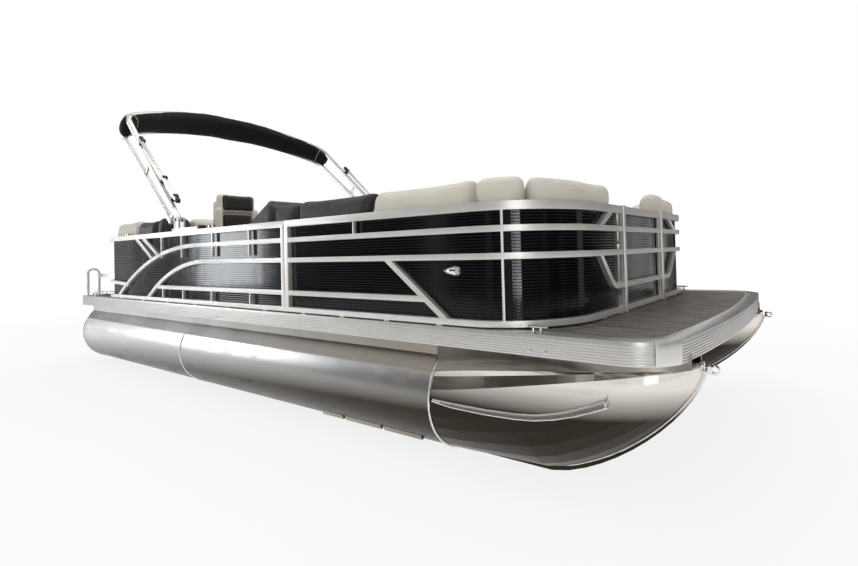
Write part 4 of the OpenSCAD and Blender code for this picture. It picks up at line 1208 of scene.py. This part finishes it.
# %% Aft backrests
high = AFT_BACK - 0.010
for side, sign in SIDES.items():
    node = side + "_aft_backrest"
    fore_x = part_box(node)[1].x - STERN
    stern_y = -0.690 if side == "starboard" else -0.325
    split = 1.40 if side == "starboard" else 1.5
    straight_end = fore_x - 0.177 if side == "starboard" else fore_x - 0.012
    hook = [(Vector((st(0.787) + WALL_IN + PUFF, stern_y, 0)), Vector((-1, 0, 0)))]
    cx, cy, r = STERN_ARC
    for i in range(7):
        a = math.radians(180 + 15 * i)
        out = Vector((math.cos(a), math.sin(a), 0))
        hook.append((Vector((cx, cy, 0)) + out * (r - WALL_IN - PUFF), out))
    hook.append((Vector((st(split), -FENCE_Y + WALL_IN + PUFF, 0)), Vector((0, -1, 0))))
    parts = [("corner", hook, beige, high), ("side", side_run(split + 0.008, straight_end), charcoal,
                                             high - 0.012)]
    for k, (tag, run, look, top) in enumerate(parts):
        obj = back_cushion("c", run, width, low, top)
        swell(side_of(sign, obj, f"{side}_aft_back_{tag}"), CELL, PUFF, BACK_LOW)
        cushion(obj, look, "beige_vinyl", (node,) if k == 0 else ())
    if side == "starboard":
        for tag, y0, y1, look in (("arm", -FENCE_Y + WALL_IN + PUFF, -0.975, charcoal),
                                  ("bolster", -0.965, -0.687, beige)):
            arm = back_cushion("c", end_run(fore_x - PUFF, y0, y1, 1), width, low, high, nose_r=0.04)
            swell(side_of(sign, arm, "starboard_aft_" + tag), CELL, PUFF + 0.004, BACK_LOW)
            cushion(arm, look, "beige_vinyl")

# %% [markdown]
# The seats are flat pads, a little crowned, cut into panels by sewn seams. Each pad is a slice of
# the lounge's plan. The slices are cut from the outline in code, extruded, bevelled and swollen.

# %% Seat pads


def sliced(outline, axis, low, high):
    """The part of a closed outline between two values along one axis."""
    for limit, sign in ((low, 1), (high, -1)):
        kept = []
        for i, point in enumerate(outline):
            last = outline[i - 1]
            inside, was = sign * (point[axis] - limit) >= 0, sign * (last[axis] - limit) >= 0
            if inside != was:
                t = (limit - last[axis]) / (point[axis] - last[axis])
                kept.append(last.lerp(point, t))
            if inside:
                kept.append(point)
        outline = kept
    return outline


def seat_plan(side, part):
    """The lounge's plan to starboard, a little inside the CAD cushion."""
    d = 0.010
    if part == "bow":
        x0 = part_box(side + "_bow_seat")[0].x
        plan = [p for p, _ in bow_run(WALL_IN + d, x0 + d, -0.46 - d)]
        tail = [(BOW_X - WALL_IN - 0.230, -0.46 - d), (BOW_X - WALL_IN - 0.440, -0.675 - d),
                (x0 + d, -0.675 - d)]
    else:
        x1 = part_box(side + "_aft_seat")[1].x - d
        y0 = -0.675 if side == "starboard" else -0.31
        plan = [p for p, _ in stern_run(WALL_IN + d, x1, y0 - d)]
        tail = [(x1, -0.675 - d)]
        if side == "port":
            tail += [(st(1.393), -0.675 - d), (st(1.393), -0.31 - d)]
    return plan + [Vector((*p, 0)) for p in tail]


PAD_CUTS = {("starboard", "bow"): (4.4, 5.15), ("port", "bow"): (4.55, 5.15), ("starboard", "aft"): (1.4,),
            ("port", "aft"): (1.42,)}
for (side, part), cuts in PAD_CUTS.items():
    plan = seat_plan(side, part)
    edges = [-99, *[st(c) for c in cuts], 99]
    for k, (a, b) in enumerate(zip(edges, edges[1:])):
        piece = sliced(plan, 0, a + 0.003, b - 0.003)
        pad = slab("p", [p + Vector((0, 0, SEAT_LOW + 0.004)) for p in piece],
                   (0, 0, SEAT_HIGH - SEAT_LOW - 0.02))
        bevel(pad, 0.022, 3, 50)
        swell(side_of(SIDES[side], pad, f"{side}_{part}_seat_{k}"), CELL, 0.010, SEAT_LOW)
        cushion(pad, beige, "beige_vinyl", (f"{side}_{part}_seat",) if k == 0 else ())
print("cushions", sum(o.name.count("seat_") or o.name.count("back_") for o in bpy.data.objects
                      if "_" in o.name))

# %% [markdown]
# The seat bases stand a little inside the cushions. Raised panels along their inner faces are the
# locker doors, and a grille of raised bars on each panel stands for its air slots.

# %% Seat bases
softened("lounge_bases", 0.012, 3)
FLOOR_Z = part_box("deck_board")[1].z
for side, sign in SIDES.items():
    x0, x1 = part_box(side + "_bow_seat")[0].x + 0.12, BOW_X - 0.60
    face = -0.675 - 0.05 / 3
    doors = []
    for i in range(int((x1 - x0) / 0.42)):
        a = x0 + 0.42 * i
        panel_block = block("f", (a, face - 0.004, FLOOR_Z + 0.07),
                            (a + 0.38, face + 0.006, FLOOR_Z + 0.285))
        doors.append(bevel(panel_block, 0.005, 2))
        for k in range(6):
            slot_z = FLOOR_Z + 0.10 + 0.012 * k
            doors.append(bar("f", [[Vector((a + 0.15, face + 0.007, slot_z)),
                                    Vector((a + 0.23, face + 0.007, slot_z))]],
                              0.003, 1))
    whole = side_of(sign, smooth(joined("f", doors), 40), side + "_locker_doors")
    finish(whole, "hull", base_plastic, "base_plastic")

# %% [markdown]
# The helm is a moulded pod: a pale lower locker with a dark hood over it. The hood's slope carries
# the dials and a screen, and its outboard face has a lighter panel let into it. The pod is drawn as
# a side view and extruded across the boat.

# %% Helm pod
X0, X1, Y0, Y1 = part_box("helm_console")[0].x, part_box("starboard_bow_backrest")[0].x - 0.024, -1.0, -0.39


def across(name, side_view, y0, y1, width, look, slot, stands_for=()):
    plate = slab(name, [(X0 + x, y0, z) for x, z in side_view], (0, y1 - y0, 0))
    return finish(smooth(bevel(plate, width, 3, 25), 40), "hull", look, slot, stands_for)


depth = X1 - X0
LID_Z, HELM_Y, WHEEL_R = 1.33, -0.690, 0.150
across("helm_locker", [(0.034, FLOOR_Z + 0.012), (depth - 0.004, FLOOR_Z + 0.012), (depth - 0.004, LID_Z),
                       (0.012, LID_Z), (0.008, 1.25)],
       Y0 + 0.006, Y1 - 0.006, 0.016, base_plastic, "base_plastic", ("helm_console",))
across("helm_toe_kick", [(0.06, FLOOR_Z + 0.001), (depth - 0.01, FLOOR_Z + 0.001),
                         (depth - 0.01, FLOOR_Z + 0.03), (0.06, FLOOR_Z + 0.03)],
       Y0 + 0.02, Y1 - 0.02, 0.004, black_plastic, "black_plastic")
hood = [(0.001, 1.325), (0.001, 1.447), (0.30, 1.608), (0.368, 1.597), (0.40, 1.527),
        (depth - 0.001, 1.497), (depth - 0.001, 1.325)]
across("helm_hood", hood, Y0 + 0.001, Y1 - 0.001, 0.018, helm_plastic, "helm_vinyl")
across("helm_side_panel", [(0.16, 1.36), (0.30, 1.545), (0.355, 1.54), (0.405, 1.487),
                           (depth - 0.03, 1.465), (depth - 0.03, 1.36)],
       Y0 - 0.0025, Y0 + 0.004, 0.003, charcoal, "helm_vinyl")

# %% [markdown]
# Dash parts lie on the slope, so they are made flat, facing up, and then turned with it. `on_dash`
# holds that turn: its X runs up the slope, its Y runs across the boat, and its Z stands off it.

# %% Dials, screen and throttle
slope = math.atan2(1.608 - 1.447, 0.299)
on_dash = Matrix.Translation((X0 + 0.15, -0.695, 1.5275 + 0.001)) @ Matrix.Rotation(-slope, 4, "Y")


def dash(obj, look, slot="black_plastic"):
    return finish(smooth(moved(obj, on_dash), 35), "hull", look, slot)


dash(bevel(block("dash_plate", (-0.135, -0.275, -0.004), (0.13, 0.275, 0.004)), 0.004, 3), black_plastic)
dash(bevel(block("dash_screen", (-0.055, -0.10, 0.003), (0.085, 0.10, 0.009)), 0.002, 2), screen)
for k, (x, y, r) in enumerate(((0.03, -0.17, 0.042), (0.03, 0.17, 0.042), (-0.06, -0.235, 0.027),
                               (-0.06, 0.235, 0.027))):
    rim = drum("rim", (x, y, 0.006), r, 0.010, sides=40)
    dash(bevel(rim, 0.003, 3), chrome, "bright_metal").name = f"dial_rim_{k}"
    dash(drum("face", (x, y, 0.0114), r * 0.84, 0.001, sides=40), ivory_plastic).name = f"dial_face_{k}"
    ticks = []
    for i in range(9):
        turn = Matrix.Translation((x, y, 0)) @ Matrix.Rotation(math.radians(-120 + 30 * i), 4, "Z")
        ticks.append(moved(block("t", (r * 0.58, -0.0007, 0.0117), (r * 0.76, 0.0007, 0.0123)), turn))
    ticks.append(moved(block("t", (-r * 0.15, -0.001, 0.0122), (r * 0.62, 0.001, 0.0130)),
                       Matrix.Translation((x, y, 0)) @ Matrix.Rotation(math.radians(140 + 20 * k), 4, "Z")))
    dash(joined(f"dial_marks_{k}", ticks), black_plastic)
for i in range(8):
    y = -0.14 + 0.04 * i
    dash(bevel(block(f"rocker_{i}", (-0.112, y - 0.012, 0.003), (-0.078, y + 0.012, 0.010)), 0.0025, 2),
         rubber)
lever = [bevel(block("l", (X0 + 0.10, Y1 - 0.002, 1.36), (X0 + 0.22, Y1 + 0.03, 1.47)), 0.012, 3),
         bar("l", [[(X0 + 0.16, Y1 + 0.034, 1.43), (X0 + 0.13, Y1 + 0.044, 1.50),
                    (X0 + 0.10, Y1 + 0.044, 1.56)]], 0.008, 3),
         bevel(drum("l", (X0 + 0.098, Y1 + 0.03, 1.566), 0.015, 0.075, "Y", 24), 0.006, 3)]
finish(smooth(joined("throttle", lever), 40), "hull", black_plastic, "black_plastic")

# %% [markdown]
# The steering wheel is made flat at the origin: a padded rim, three spokes and a domed hub. Then it
# is turned to the column's slope and moved to its place, and it rides on its own body.

# %% Steering wheel
clear_selection()
bpy.ops.mesh.primitive_torus_add(major_radius=WHEEL_R, minor_radius=0.0135, major_segments=64,
                                 minor_segments=16)
rim = bpy.context.object
grips = []
for i in range(44):
    a = 2 * math.pi * i / 44
    ring = bar("g", [[(WHEEL_R * math.cos(a), WHEEL_R * math.sin(a), 0.0128),
                      (0.1628 * math.cos(a), 0.1628 * math.sin(a), 0)]], 0.0011, 1)
    grips.append(ring)
spokes = []
for angle in (0, 110, 250):
    turn = Matrix.Rotation(math.radians(angle), 4, "Z")
    arm = skinned("s", [[(x, y * w, z) for y, z in ((-1, 0.005), (1, 0.005), (1, 0.011), (-1, 0.011),
                                                    (-1, 0.005))]
                        for x, w in ((0.02, 0.020), (0.06, 0.013), (0.11, 0.010), (0.142, 0.014))],
                  True, True)
    spokes.append(moved(bevel(arm, 0.002, 2), turn))
column_turn = (Matrix.Translation((X0 - 0.10, HELM_Y, FLOOR_Z + 0.643))
               @ Matrix.Rotation(math.radians(115), 4, "Y"))
finish(moved(smooth(joined("wheel_rim", [rim, *grips]), 60), column_turn), "helm_wheel", rubber,
       "black_plastic", ("steering_wheel",))
finish(moved(smooth(joined("wheel_spokes", spokes), 40), column_turn), "helm_wheel", chrome, "bright_metal")
hub = [drum("h", (0, 0, 0.010), 0.040, 0.020, sides=40),
       drum("h", (0, 0, -0.004), 0.034, 0.010, sides=40, top=0.040)]
finish(moved(smooth(bevel(joined("wheel_hub", hub), 0.003, 2), 35), column_turn), "helm_wheel",
       black_plastic, "black_plastic")
post = bar("wheel_column", [[(X0 - 0.065, HELM_Y, FLOOR_Z + 0.626), (X0 + 0.05, HELM_Y, FLOOR_Z + 0.573)]],
           0.021, 4)
finish(smooth(post, 40), "hull", black_plastic, "black_plastic")

# %% [markdown]
# The captain's chair is a bucket: a shell at the back, two tall side bolsters, a dark centre and a
# dark head pad with a pale rim. Each is a separate foam part sewn in its own cover, so each is its
# own swollen cushion. The chair swivels, so all of it rides on the chair's body.

# %% Captain's chair
chair = Vector((st(2.480), HELM_Y, 0))


def foam(name, low, high, look, round_by, cap=0.008, cell=0.012, stands_for=(), shape=None):
    pad = bevel(block(name, chair + Vector(low), chair + Vector(high)), round_by, 3)
    if shape:
        for vertex in pad.data.vertices:
            vertex.co = chair + shape(vertex.co - chair)
    swell(pad, cell, cap)
    return cushion(pad, look, "beige_vinyl", stands_for, "captain_chair")


def narrowed(p):
    """Draws the back in towards its top and leans it aft a little."""
    t = min(max((p.z - 1.25) / 0.50, 0), 1)
    return Vector((p.x - 0.010 * t, p.y * (1 - 0.13 * t * t), p.z))


foam("chair_cushion", (-0.215, -0.225, 1.120), (0.222, 0.225, 1.218), beige, 0.035,
     stands_for=("chair_seat",))
foam("chair_seat_centre", (-0.150, -0.150, 1.170), (0.175, 0.150, 1.232), cocoa, 0.028, 0.005)
foam("chair_shell", (-0.278, -0.222, 1.240), (-0.215, 0.222, 1.712), beige, 0.028, shape=narrowed,
     stands_for=("chair_back",))
for tag, sign in (("starboard", -1), ("port", 1)):
    y = sorted((sign * 0.150, sign * 0.224))
    foam(f"chair_bolster_{tag}", (-0.232, y[0], 1.238), (-0.152, y[1], 1.640), beige, 0.030, shape=narrowed)
foam("chair_centre", (-0.228, -0.140, 1.240), (-0.168, 0.140, 1.580), cocoa, 0.022, 0.006)
foam("chair_head_rim", (-0.262, -0.186, 1.578), (-0.176, 0.186, 1.776), beige, 0.036)
foam("chair_head_pad", (-0.215, -0.156, 1.606), (-0.150, 0.156, 1.764), cocoa, 0.026, 0.007)
for tag, sign in (("starboard", -1), ("port", 1)):
    y = sorted((sign * 0.243, sign * 0.288))
    foam(f"chair_arm_{tag}", (-0.150, y[0], 1.336), (0.132, y[1], 1.374), charcoal, 0.014, 0.004, 0.009)
    stay = [bar("s", [[chair + Vector((x, sign * 0.265, 1.345)),
                       chair + Vector((x * 0.8, sign * 0.262, 1.18)),
                       chair + Vector((x * 0.8, sign * 0.19, 1.125))]], 0.011, 3) for x in (-0.11, 0.09)]
    finish(smooth(joined(f"chair_arm_stay_{tag}", stay), 40), "captain_chair", black_plastic,
           "black_plastic")
plinth = bevel(block("chair_plinth", chair + Vector((-0.16, -0.16, 1.1085)),
                     chair + Vector((0.16, 0.16, 1.122))), 0.004, 2)
finish(plinth, "captain_chair", black_plastic, "black_plastic")
pedestal = [drum("p", chair + Vector((0, 0, FLOOR_Z + 0.0065)), 0.150, 0.013, sides=48),
            drum("p", chair + Vector((0, 0, FLOOR_Z + 0.030)), 0.075, 0.034, sides=40, top=0.040),
            drum("p", chair + Vector((0, 0, FLOOR_Z + 0.166)), 0.037, 0.332, sides=32)]
finish(smooth(bevel(joined("chair_pedestal_turned", pedestal), 0.003, 2), 35), "hull", trim,
       "rail_aluminium", ("chair_pedestal",))
print("helm and chair done")

# %% [markdown]
# The folded bimini top lies in a cloth boot, laced over both bows. The boot is modelled as rows of
# oval sections along the bow's curve. It is deep in the middle, where the canvas is rolled, and
# draws in towards each end. Slanting folds are worked into the sections before a little swelling.

# %% Bimini boot
LEAN = math.radians(39.5)
BOOT_OFF = -0.0525
STRAP_GROW = 1.06


def bow_plane(angle):
    """From the bow's own plane (along the legs, across, off the plane) to the boat."""
    c, s = math.cos(angle), math.sin(angle)
    turn = Matrix(((-c, 0, s), (0, -1, 0), (s, 0, c))).to_4x4()
    return Matrix.Translation((st(2.410), 0, FENCE_TOP + 0.1)) @ turn


CROWN_X, CROWN_R, CORNER_R, CORNER_Y = 0.04, 2.10, 0.22, 0.982
PHI = math.asin(CORNER_Y / (CROWN_R - CORNER_R))
CORNER_X = CROWN_X + (CROWN_R - CORNER_R) * math.cos(PHI)
route = []
for i in range(9):
    a = math.radians(87.8) + (PHI - math.radians(87.8)) * i / 9
    route.append((CORNER_X + CORNER_R * math.cos(a), CORNER_Y + CORNER_R * math.sin(a), a))
for i in range(61):
    a = PHI - 2 * PHI * i / 60
    route.append((CROWN_X + CROWN_R * math.cos(a), CROWN_R * math.sin(a), a))
for i in range(1, 10):
    a = -PHI - (math.radians(87.8) - PHI) * i / 9
    route.append((CORNER_X + CORNER_R * math.cos(a), -CORNER_Y + CORNER_R * math.sin(a), a))


def boot_section(u, v, a, share, grow=1.0, sides=40):
    """One oval of the boot. share runs from 0 at one end to 1 at the other."""
    middle = math.sin(math.pi * share) ** 0.55
    out, deep = (0.046 + 0.046 * middle) * grow, (0.082 + 0.068 * middle) * grow
    row = []
    for k in range(sides + 1):
        t = 2 * math.pi * (k % sides) / sides
        c, s = math.cos(t), math.sin(t)
        fold = 0.045 * math.sin(3 * t + 26 * share) * (1 - 0.45 * middle) + 0.035 * noise.noise(
            Vector((share * 17 + 1.5 * s, 2.0 * c, 2.0 * s)))
        reach = 1 - 0.02 + fold if grow == 1.0 else 1.0
        x = out * math.copysign(abs(c) ** 0.75, c) * reach
        row.append(Vector((u + x * math.cos(a), v + x * math.sin(a),
                           BOOT_OFF + deep * math.copysign(abs(s) ** 0.75, s) * reach)))
    return row


total = len(route) - 1
rows = [boot_section(*at, i / total) for i, at in enumerate(route)]
boot = skinned("bimini_boot_cloth", rows, closed_rows=True, caps=True)
moved(boot, bow_plane(LEAN))
swell(boot, 0.018, 0.006)
finish(boot, "bimini_top", canvas, "boot_fabric", ("bimini_boot",))
zip_line = []
for i, (u, v, a) in enumerate(route):
    if 9 < i < total - 9:
        out = 0.94 * (0.046 + 0.046 * math.sin(math.pi * i / total) ** 0.55)
        zip_line.append(bow_plane(LEAN) @ Vector((u - out * math.cos(a), v, BOOT_OFF)))
seam = bar("boot_zip", [zip_line], 0.004, 2)
finish(smooth(seam, 60), "bimini_top", webbing, "boot_fabric")
straps = []
for share in (0.075, 0.925):
    k = round(share * total)
    loop = [boot_section(*at, share, STRAP_GROW) for at in route[k:k + 2]]
    half = [[p.lerp(q, 0.25) for p, q in zip(*loop)], [p.lerp(q, 0.75) for p, q in zip(*loop)]]
    band = skinned("strap", half, closed_rows=True)
    straps.append(modify(band, "SOLIDIFY", thickness=0.003, offset=1))
finish(moved(smooth(joined("boot_straps", straps), 50), bow_plane(LEAN)), "bimini_top", webbing,
       "boot_fabric")

# %% [markdown]
# The struts that hold the top up are folded along the bows. Their ends, the clamps that grip them
# and the stops on the rail are black plastic. Small bright blocks on the top rail take snap hooks.

# %% Bimini fittings
pieces = []
for side in (-1, 1):
    y = side * 1.229
    for u in (0.205, 1.225):
        pieces.append(bevel(block("c", (u - 0.022, y - 0.018, 0.047), (u + 0.03, y + 0.018, 0.083)), 0.005,
                            2))
    for u in (0.262, 0.55, 1.182):
        pieces.append(bevel(block("c", (u - 0.016, y - 0.021, 0.015), (u + 0.016, y + 0.021, 0.086)), 0.004,
                            2))
clamps = moved(joined("bimini_clamps", pieces), bow_plane(math.radians(41)))
finish(smooth(clamps, 35), "bimini_top", black_plastic, "black_plastic")
pieces, blocks = [], []
for side in (-1, 1):
    pieces.append(bevel(block("k", (st(2.800), side * 1.264 - 0.030, FENCE_TOP + 0.001),
                              (st(2.842), side * 1.264 + 0.030, FENCE_TOP + 0.032)), 0.010, 3))
    pieces.append(bevel(drum("k", (st(2.410), side * 1.264, FENCE_TOP + 0.1), 0.016, 0.066, "Y", 24), 0.003,
                        2))
    for x in (1.235, 1.285, 2.965, 3.025):
        blocks.append(bevel(block("k", (st(x) - 0.014, side * 1.269 - 0.010, FENCE_TOP - 0.001),
                                  (st(x) + 0.014, side * 1.269 + 0.010, FENCE_TOP + 0.024)), 0.004, 2))
finish(smooth(joined("rail_stops", pieces), 35), "hull", black_plastic, "black_plastic")
finish(smooth(joined("snap_blocks", blocks), 35), "hull", chrome, "bright_metal")

# %% [markdown]
# A cleat is cast: two short posts on a foot, and a pair of horns that taper to round ends. The
# horns are rows of rings along the cleat, largest in the middle.

# %% Cleats, lights and bow eyes
CLEAT_Y = 1.262
LIGHT_AT = (st(5.540), -1.259, 1.050)


def turned(name, stations, centre, sides=16, squash=1.0):
    """Rings along X from (x, radius) pairs."""
    rows = []
    for x, r in stations:
        rows.append([Vector(centre) + Vector((x, r * math.cos(t), r * squash * math.sin(t)))
                     for t in (2 * math.pi * (k % sides) / sides for k in range(sides + 1))])
    return skinned(name, rows, closed_rows=True, caps=True)


cleats = []
for x in (DECK_L - 0.700, 0.300):
    centre = (st(x), -CLEAT_Y, LIP_Z + 0.029)
    cleats.append(turned("c", [(-0.058, 0.003), (-0.055, 0.0055), (-0.030, 0.0075), (0, 0.0085),
                               (0.030, 0.0075), (0.055, 0.0055), (0.058, 0.003)], centre, squash=0.8))
    for d in (-0.020, 0.020):
        at = Vector((st(x) + d, -CLEAT_Y, LIP_Z))
        cleats.append(drum("c", at + Vector((0, 0, 0.014)), 0.0078, 0.028, sides=24, top=0.0062))
        cleats.append(bevel(drum("c", at + Vector((0, 0, 0.0022)), 0.014, 0.004, sides=24), 0.001, 2))
whole = smooth(joined("cleats", cleats), 40)
pair(whole, "cleats", "hull", chrome, "bright_metal")
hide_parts("mooring_cleats")

lamp = turned("lamp", [(-0.070, 0.002), (-0.060, 0.008), (-0.040, 0.017), (-0.015, 0.024), (0.010, 0.0275),
                       (0.026, 0.028), (0.030, 0.026)], LIGHT_AT, 32)
pair(smooth(lamp, 50), "lamp_shell", "hull", chrome, "bright_metal")
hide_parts("docking_lights")
lens = turned("lens", [(0.028, 0.024), (0.031, 0.0235), (0.036, 0.017), (0.038, 0.006)], LIGHT_AT, 32)
pair(smooth(lens, 60), "lamp_lens", "hull", lamp_glass)
softened("bow_eyes", 0.003, 3, chrome)
print("fittings done")

# %% [markdown]
# The outboard motor hangs on the transom, tilted up out of the water. Its parts are made upright
# round the tilt axis and then turned by the tilt. The cowling is a loft: rows of rounded sections,
# widest at the shoulder, with a pan under it and a thin bright line where the two meet.

# %% Cowling
PARKED = math.radians(52)
TILT = Matrix.Translation((st(-0.115), 0, TRIM_LOW + 0.078)) @ Matrix.Rotation(PARKED, 4, "Y")
SHAFT_Z = -0.713


def rounded(x0, x1, half, z, power=0.42, sides=40):
    cx, rx = (x0 + x1) / 2, (x1 - x0) / 2
    row = []
    for k in range(sides + 1):
        t = 2 * math.pi * (k % sides) / sides
        c, s = math.cos(t), math.sin(t)
        row.append(Vector((cx + rx * math.copysign(abs(c) ** power, c),
                           half * math.copysign(abs(s) ** power, s), z)))
    return row


def loft(name, levels, body, look, slot="motor_paint", stands_for=(), angle=40):
    obj = skinned(name, [rounded(*level) for level in levels], closed_rows=True, caps=True)
    return finish(smooth(moved(obj, TILT), angle), body, look, slot, stands_for)


loft("cowling", [(-0.560, -0.130, 0.135, 0.110), (-0.590, -0.114, 0.158, 0.130, 0.5),
                 (-0.598, -0.112, 0.164, 0.200, 0.55),
                 (-0.592, -0.116, 0.160, 0.300, 0.55), (-0.576, -0.128, 0.148, 0.390, 0.6),
                 (-0.545, -0.152, 0.126, 0.450, 0.65),
                 (-0.480, -0.200, 0.085, 0.480, 0.75), (-0.400, -0.270, 0.030, 0.489, 0.8)], "motor",
     gloss_paint, stands_for=("motor_cowling",))
loft("cowling_pan", [(-0.500, -0.150, 0.095, 0.030), (-0.560, -0.124, 0.140, 0.060, 0.5),
                     (-0.590, -0.114, 0.157, 0.104, 0.5),
                     (-0.580, -0.120, 0.150, 0.112, 0.5)], "motor", black_plastic, "black_plastic")
loft("cowling_line", [(-0.592, -0.113, 0.159, 0.104, 0.5), (-0.594, -0.111, 0.1605, 0.107, 0.5),
                      (-0.594, -0.111, 0.1605, 0.112, 0.5), (-0.590, -0.115, 0.157, 0.115, 0.5)], "motor",
     chrome, "bright_metal")
vents = [bevel(block("v", (-0.150, -0.10, 0.330 + 0.022 * k), (-0.118, 0.10, 0.342 + 0.022 * k)), 0.003,
               2) for k in range(4)]
finish(smooth(moved(joined("cowling_vents", vents), TILT), 35), "motor", black_plastic, "black_plastic")

# %% [markdown]
# Under the cowling come the midsection, the anti-ventilation plate, the bullet that holds the
# gears, and the skeg below it. All but the plate are sections again, longer than they are wide, so
# that water slips past them.

# %% Leg
loft("midsection", [(-0.360, -0.172, 0.068, 0.040), (-0.352, -0.178, 0.062, -0.120),
                    (-0.346, -0.186, 0.050, -0.330, 0.6),
                    (-0.342, -0.190, 0.040, -0.520, 0.7)], "motor", gloss_paint, stands_for=("motor_leg",))
loft("strut", [(-0.345, -0.198, 0.030, -0.525, 0.8), (-0.340, -0.205, 0.024, -0.620, 0.8),
               (-0.345, -0.200, 0.028, -0.690, 0.8)],
     "motor", gloss_paint)
bullet = turned("gearcase", [(-0.262, 0.034), (-0.255, 0.040), (-0.18, 0.0455), (-0.08, 0.046),
                             (-0.03, 0.040), (-0.008, 0.026), (0.0, 0.006)], (-0.140, 0, SHAFT_Z), 32)
finish(smooth(moved(bullet, TILT), 45), "motor", gloss_paint, "motor_paint")
plate = slab("cavitation_plate", [(-0.468, -0.045, -0.523), (-0.440, -0.092, -0.523),
                                  (-0.330, -0.098, -0.523), (-0.205, -0.062, -0.523),
                                  (-0.162, 0, -0.523), (-0.205, 0.062, -0.523), (-0.330, 0.098, -0.523),
                                  (-0.440, 0.092, -0.523), (-0.468, 0.045, -0.523)], (0, 0, 0.009))
finish(smooth(moved(bevel(plate, 0.003, 2), TILT), 35), "motor", gloss_paint, "motor_paint")
skeg = skinned("skeg", [[Vector((x, y * w, z)) for x,
                         y in ((x0, -0.3), (x1, -1), (x1, 1), (x0, 0.3), (x0, -0.3))]
                        for x0, x1, w, z in ((-0.325, -0.200, 0.007, -0.750),
                                             (-0.322, -0.225, 0.006, -0.830),
                                             (-0.318, -0.262, 0.004, -0.900))], True, True)
finish(smooth(moved(bevel(skeg, 0.0015, 2), TILT), 35), "motor", gloss_paint, "motor_paint")
mounts = [bevel(block("m", (-0.200, -0.050, z0), (-0.062, 0.050, z0 + 0.026)), 0.006, 3)
          for z0 in (-0.007, -0.332)]
finish(smooth(moved(joined("motor_mounts", mounts), TILT), 35), "motor", black_plastic, "motor_paint")

# %% [markdown]
# A propeller blade is a twisted plate. Its sections run out from the hub, widest two thirds of the
# way, and each one is turned less than the last: the tip travels further in a turn, so it needs
# less slope to move the same distance ahead.

# %% Propeller
blades = []
for turn in (0, 120, 240):
    rows = []
    for r, chord, twist, thick in ((0.036, 0.070, 52, 0.0045), (0.065, 0.094, 44, 0.0038),
                                   (0.100, 0.112, 36, 0.0030),
                                   (0.135, 0.100, 30, 0.0022), (0.158, 0.062, 26, 0.0016),
                                   (0.166, 0.020, 24, 0.0010)):
        c, s = math.cos(math.radians(twist)), math.sin(math.radians(twist))
        row = []
        for along, off in ((-0.5, 0), (-0.25, 1), (0, 1.2), (0.3, 0.9), (0.5, 0), (0.3, -0.3), (0, -0.2),
                           (-0.25, -0.3), (-0.5, 0)):
            a, b = along * chord, off * thick
            row.append(Vector((-0.055 + a * s + b * c, a * c - b * s, r)))
        rows.append(row)
    blade = skinned("b", rows, closed_rows=True, caps=True)
    blades.append(moved(subdivide(blade, 1), Matrix.Rotation(math.radians(turn), 4, "X")))
hub = turned("hub", [(-0.112, 0.010), (-0.110, 0.030), (-0.095, 0.038), (-0.03, 0.0415), (-0.002, 0.0418)],
             (0, 0, 0), 32)
screw = joined("propeller_cast", [*blades, hub])
moved(screw, TILT @ Matrix.Translation((-0.4003, 0, SHAFT_Z)))
finish(smooth(screw, 45), "prop", gloss_paint, "propeller_metal", ("propeller",))
softened("motor_pod", 0.004, 2)
print("motor done")
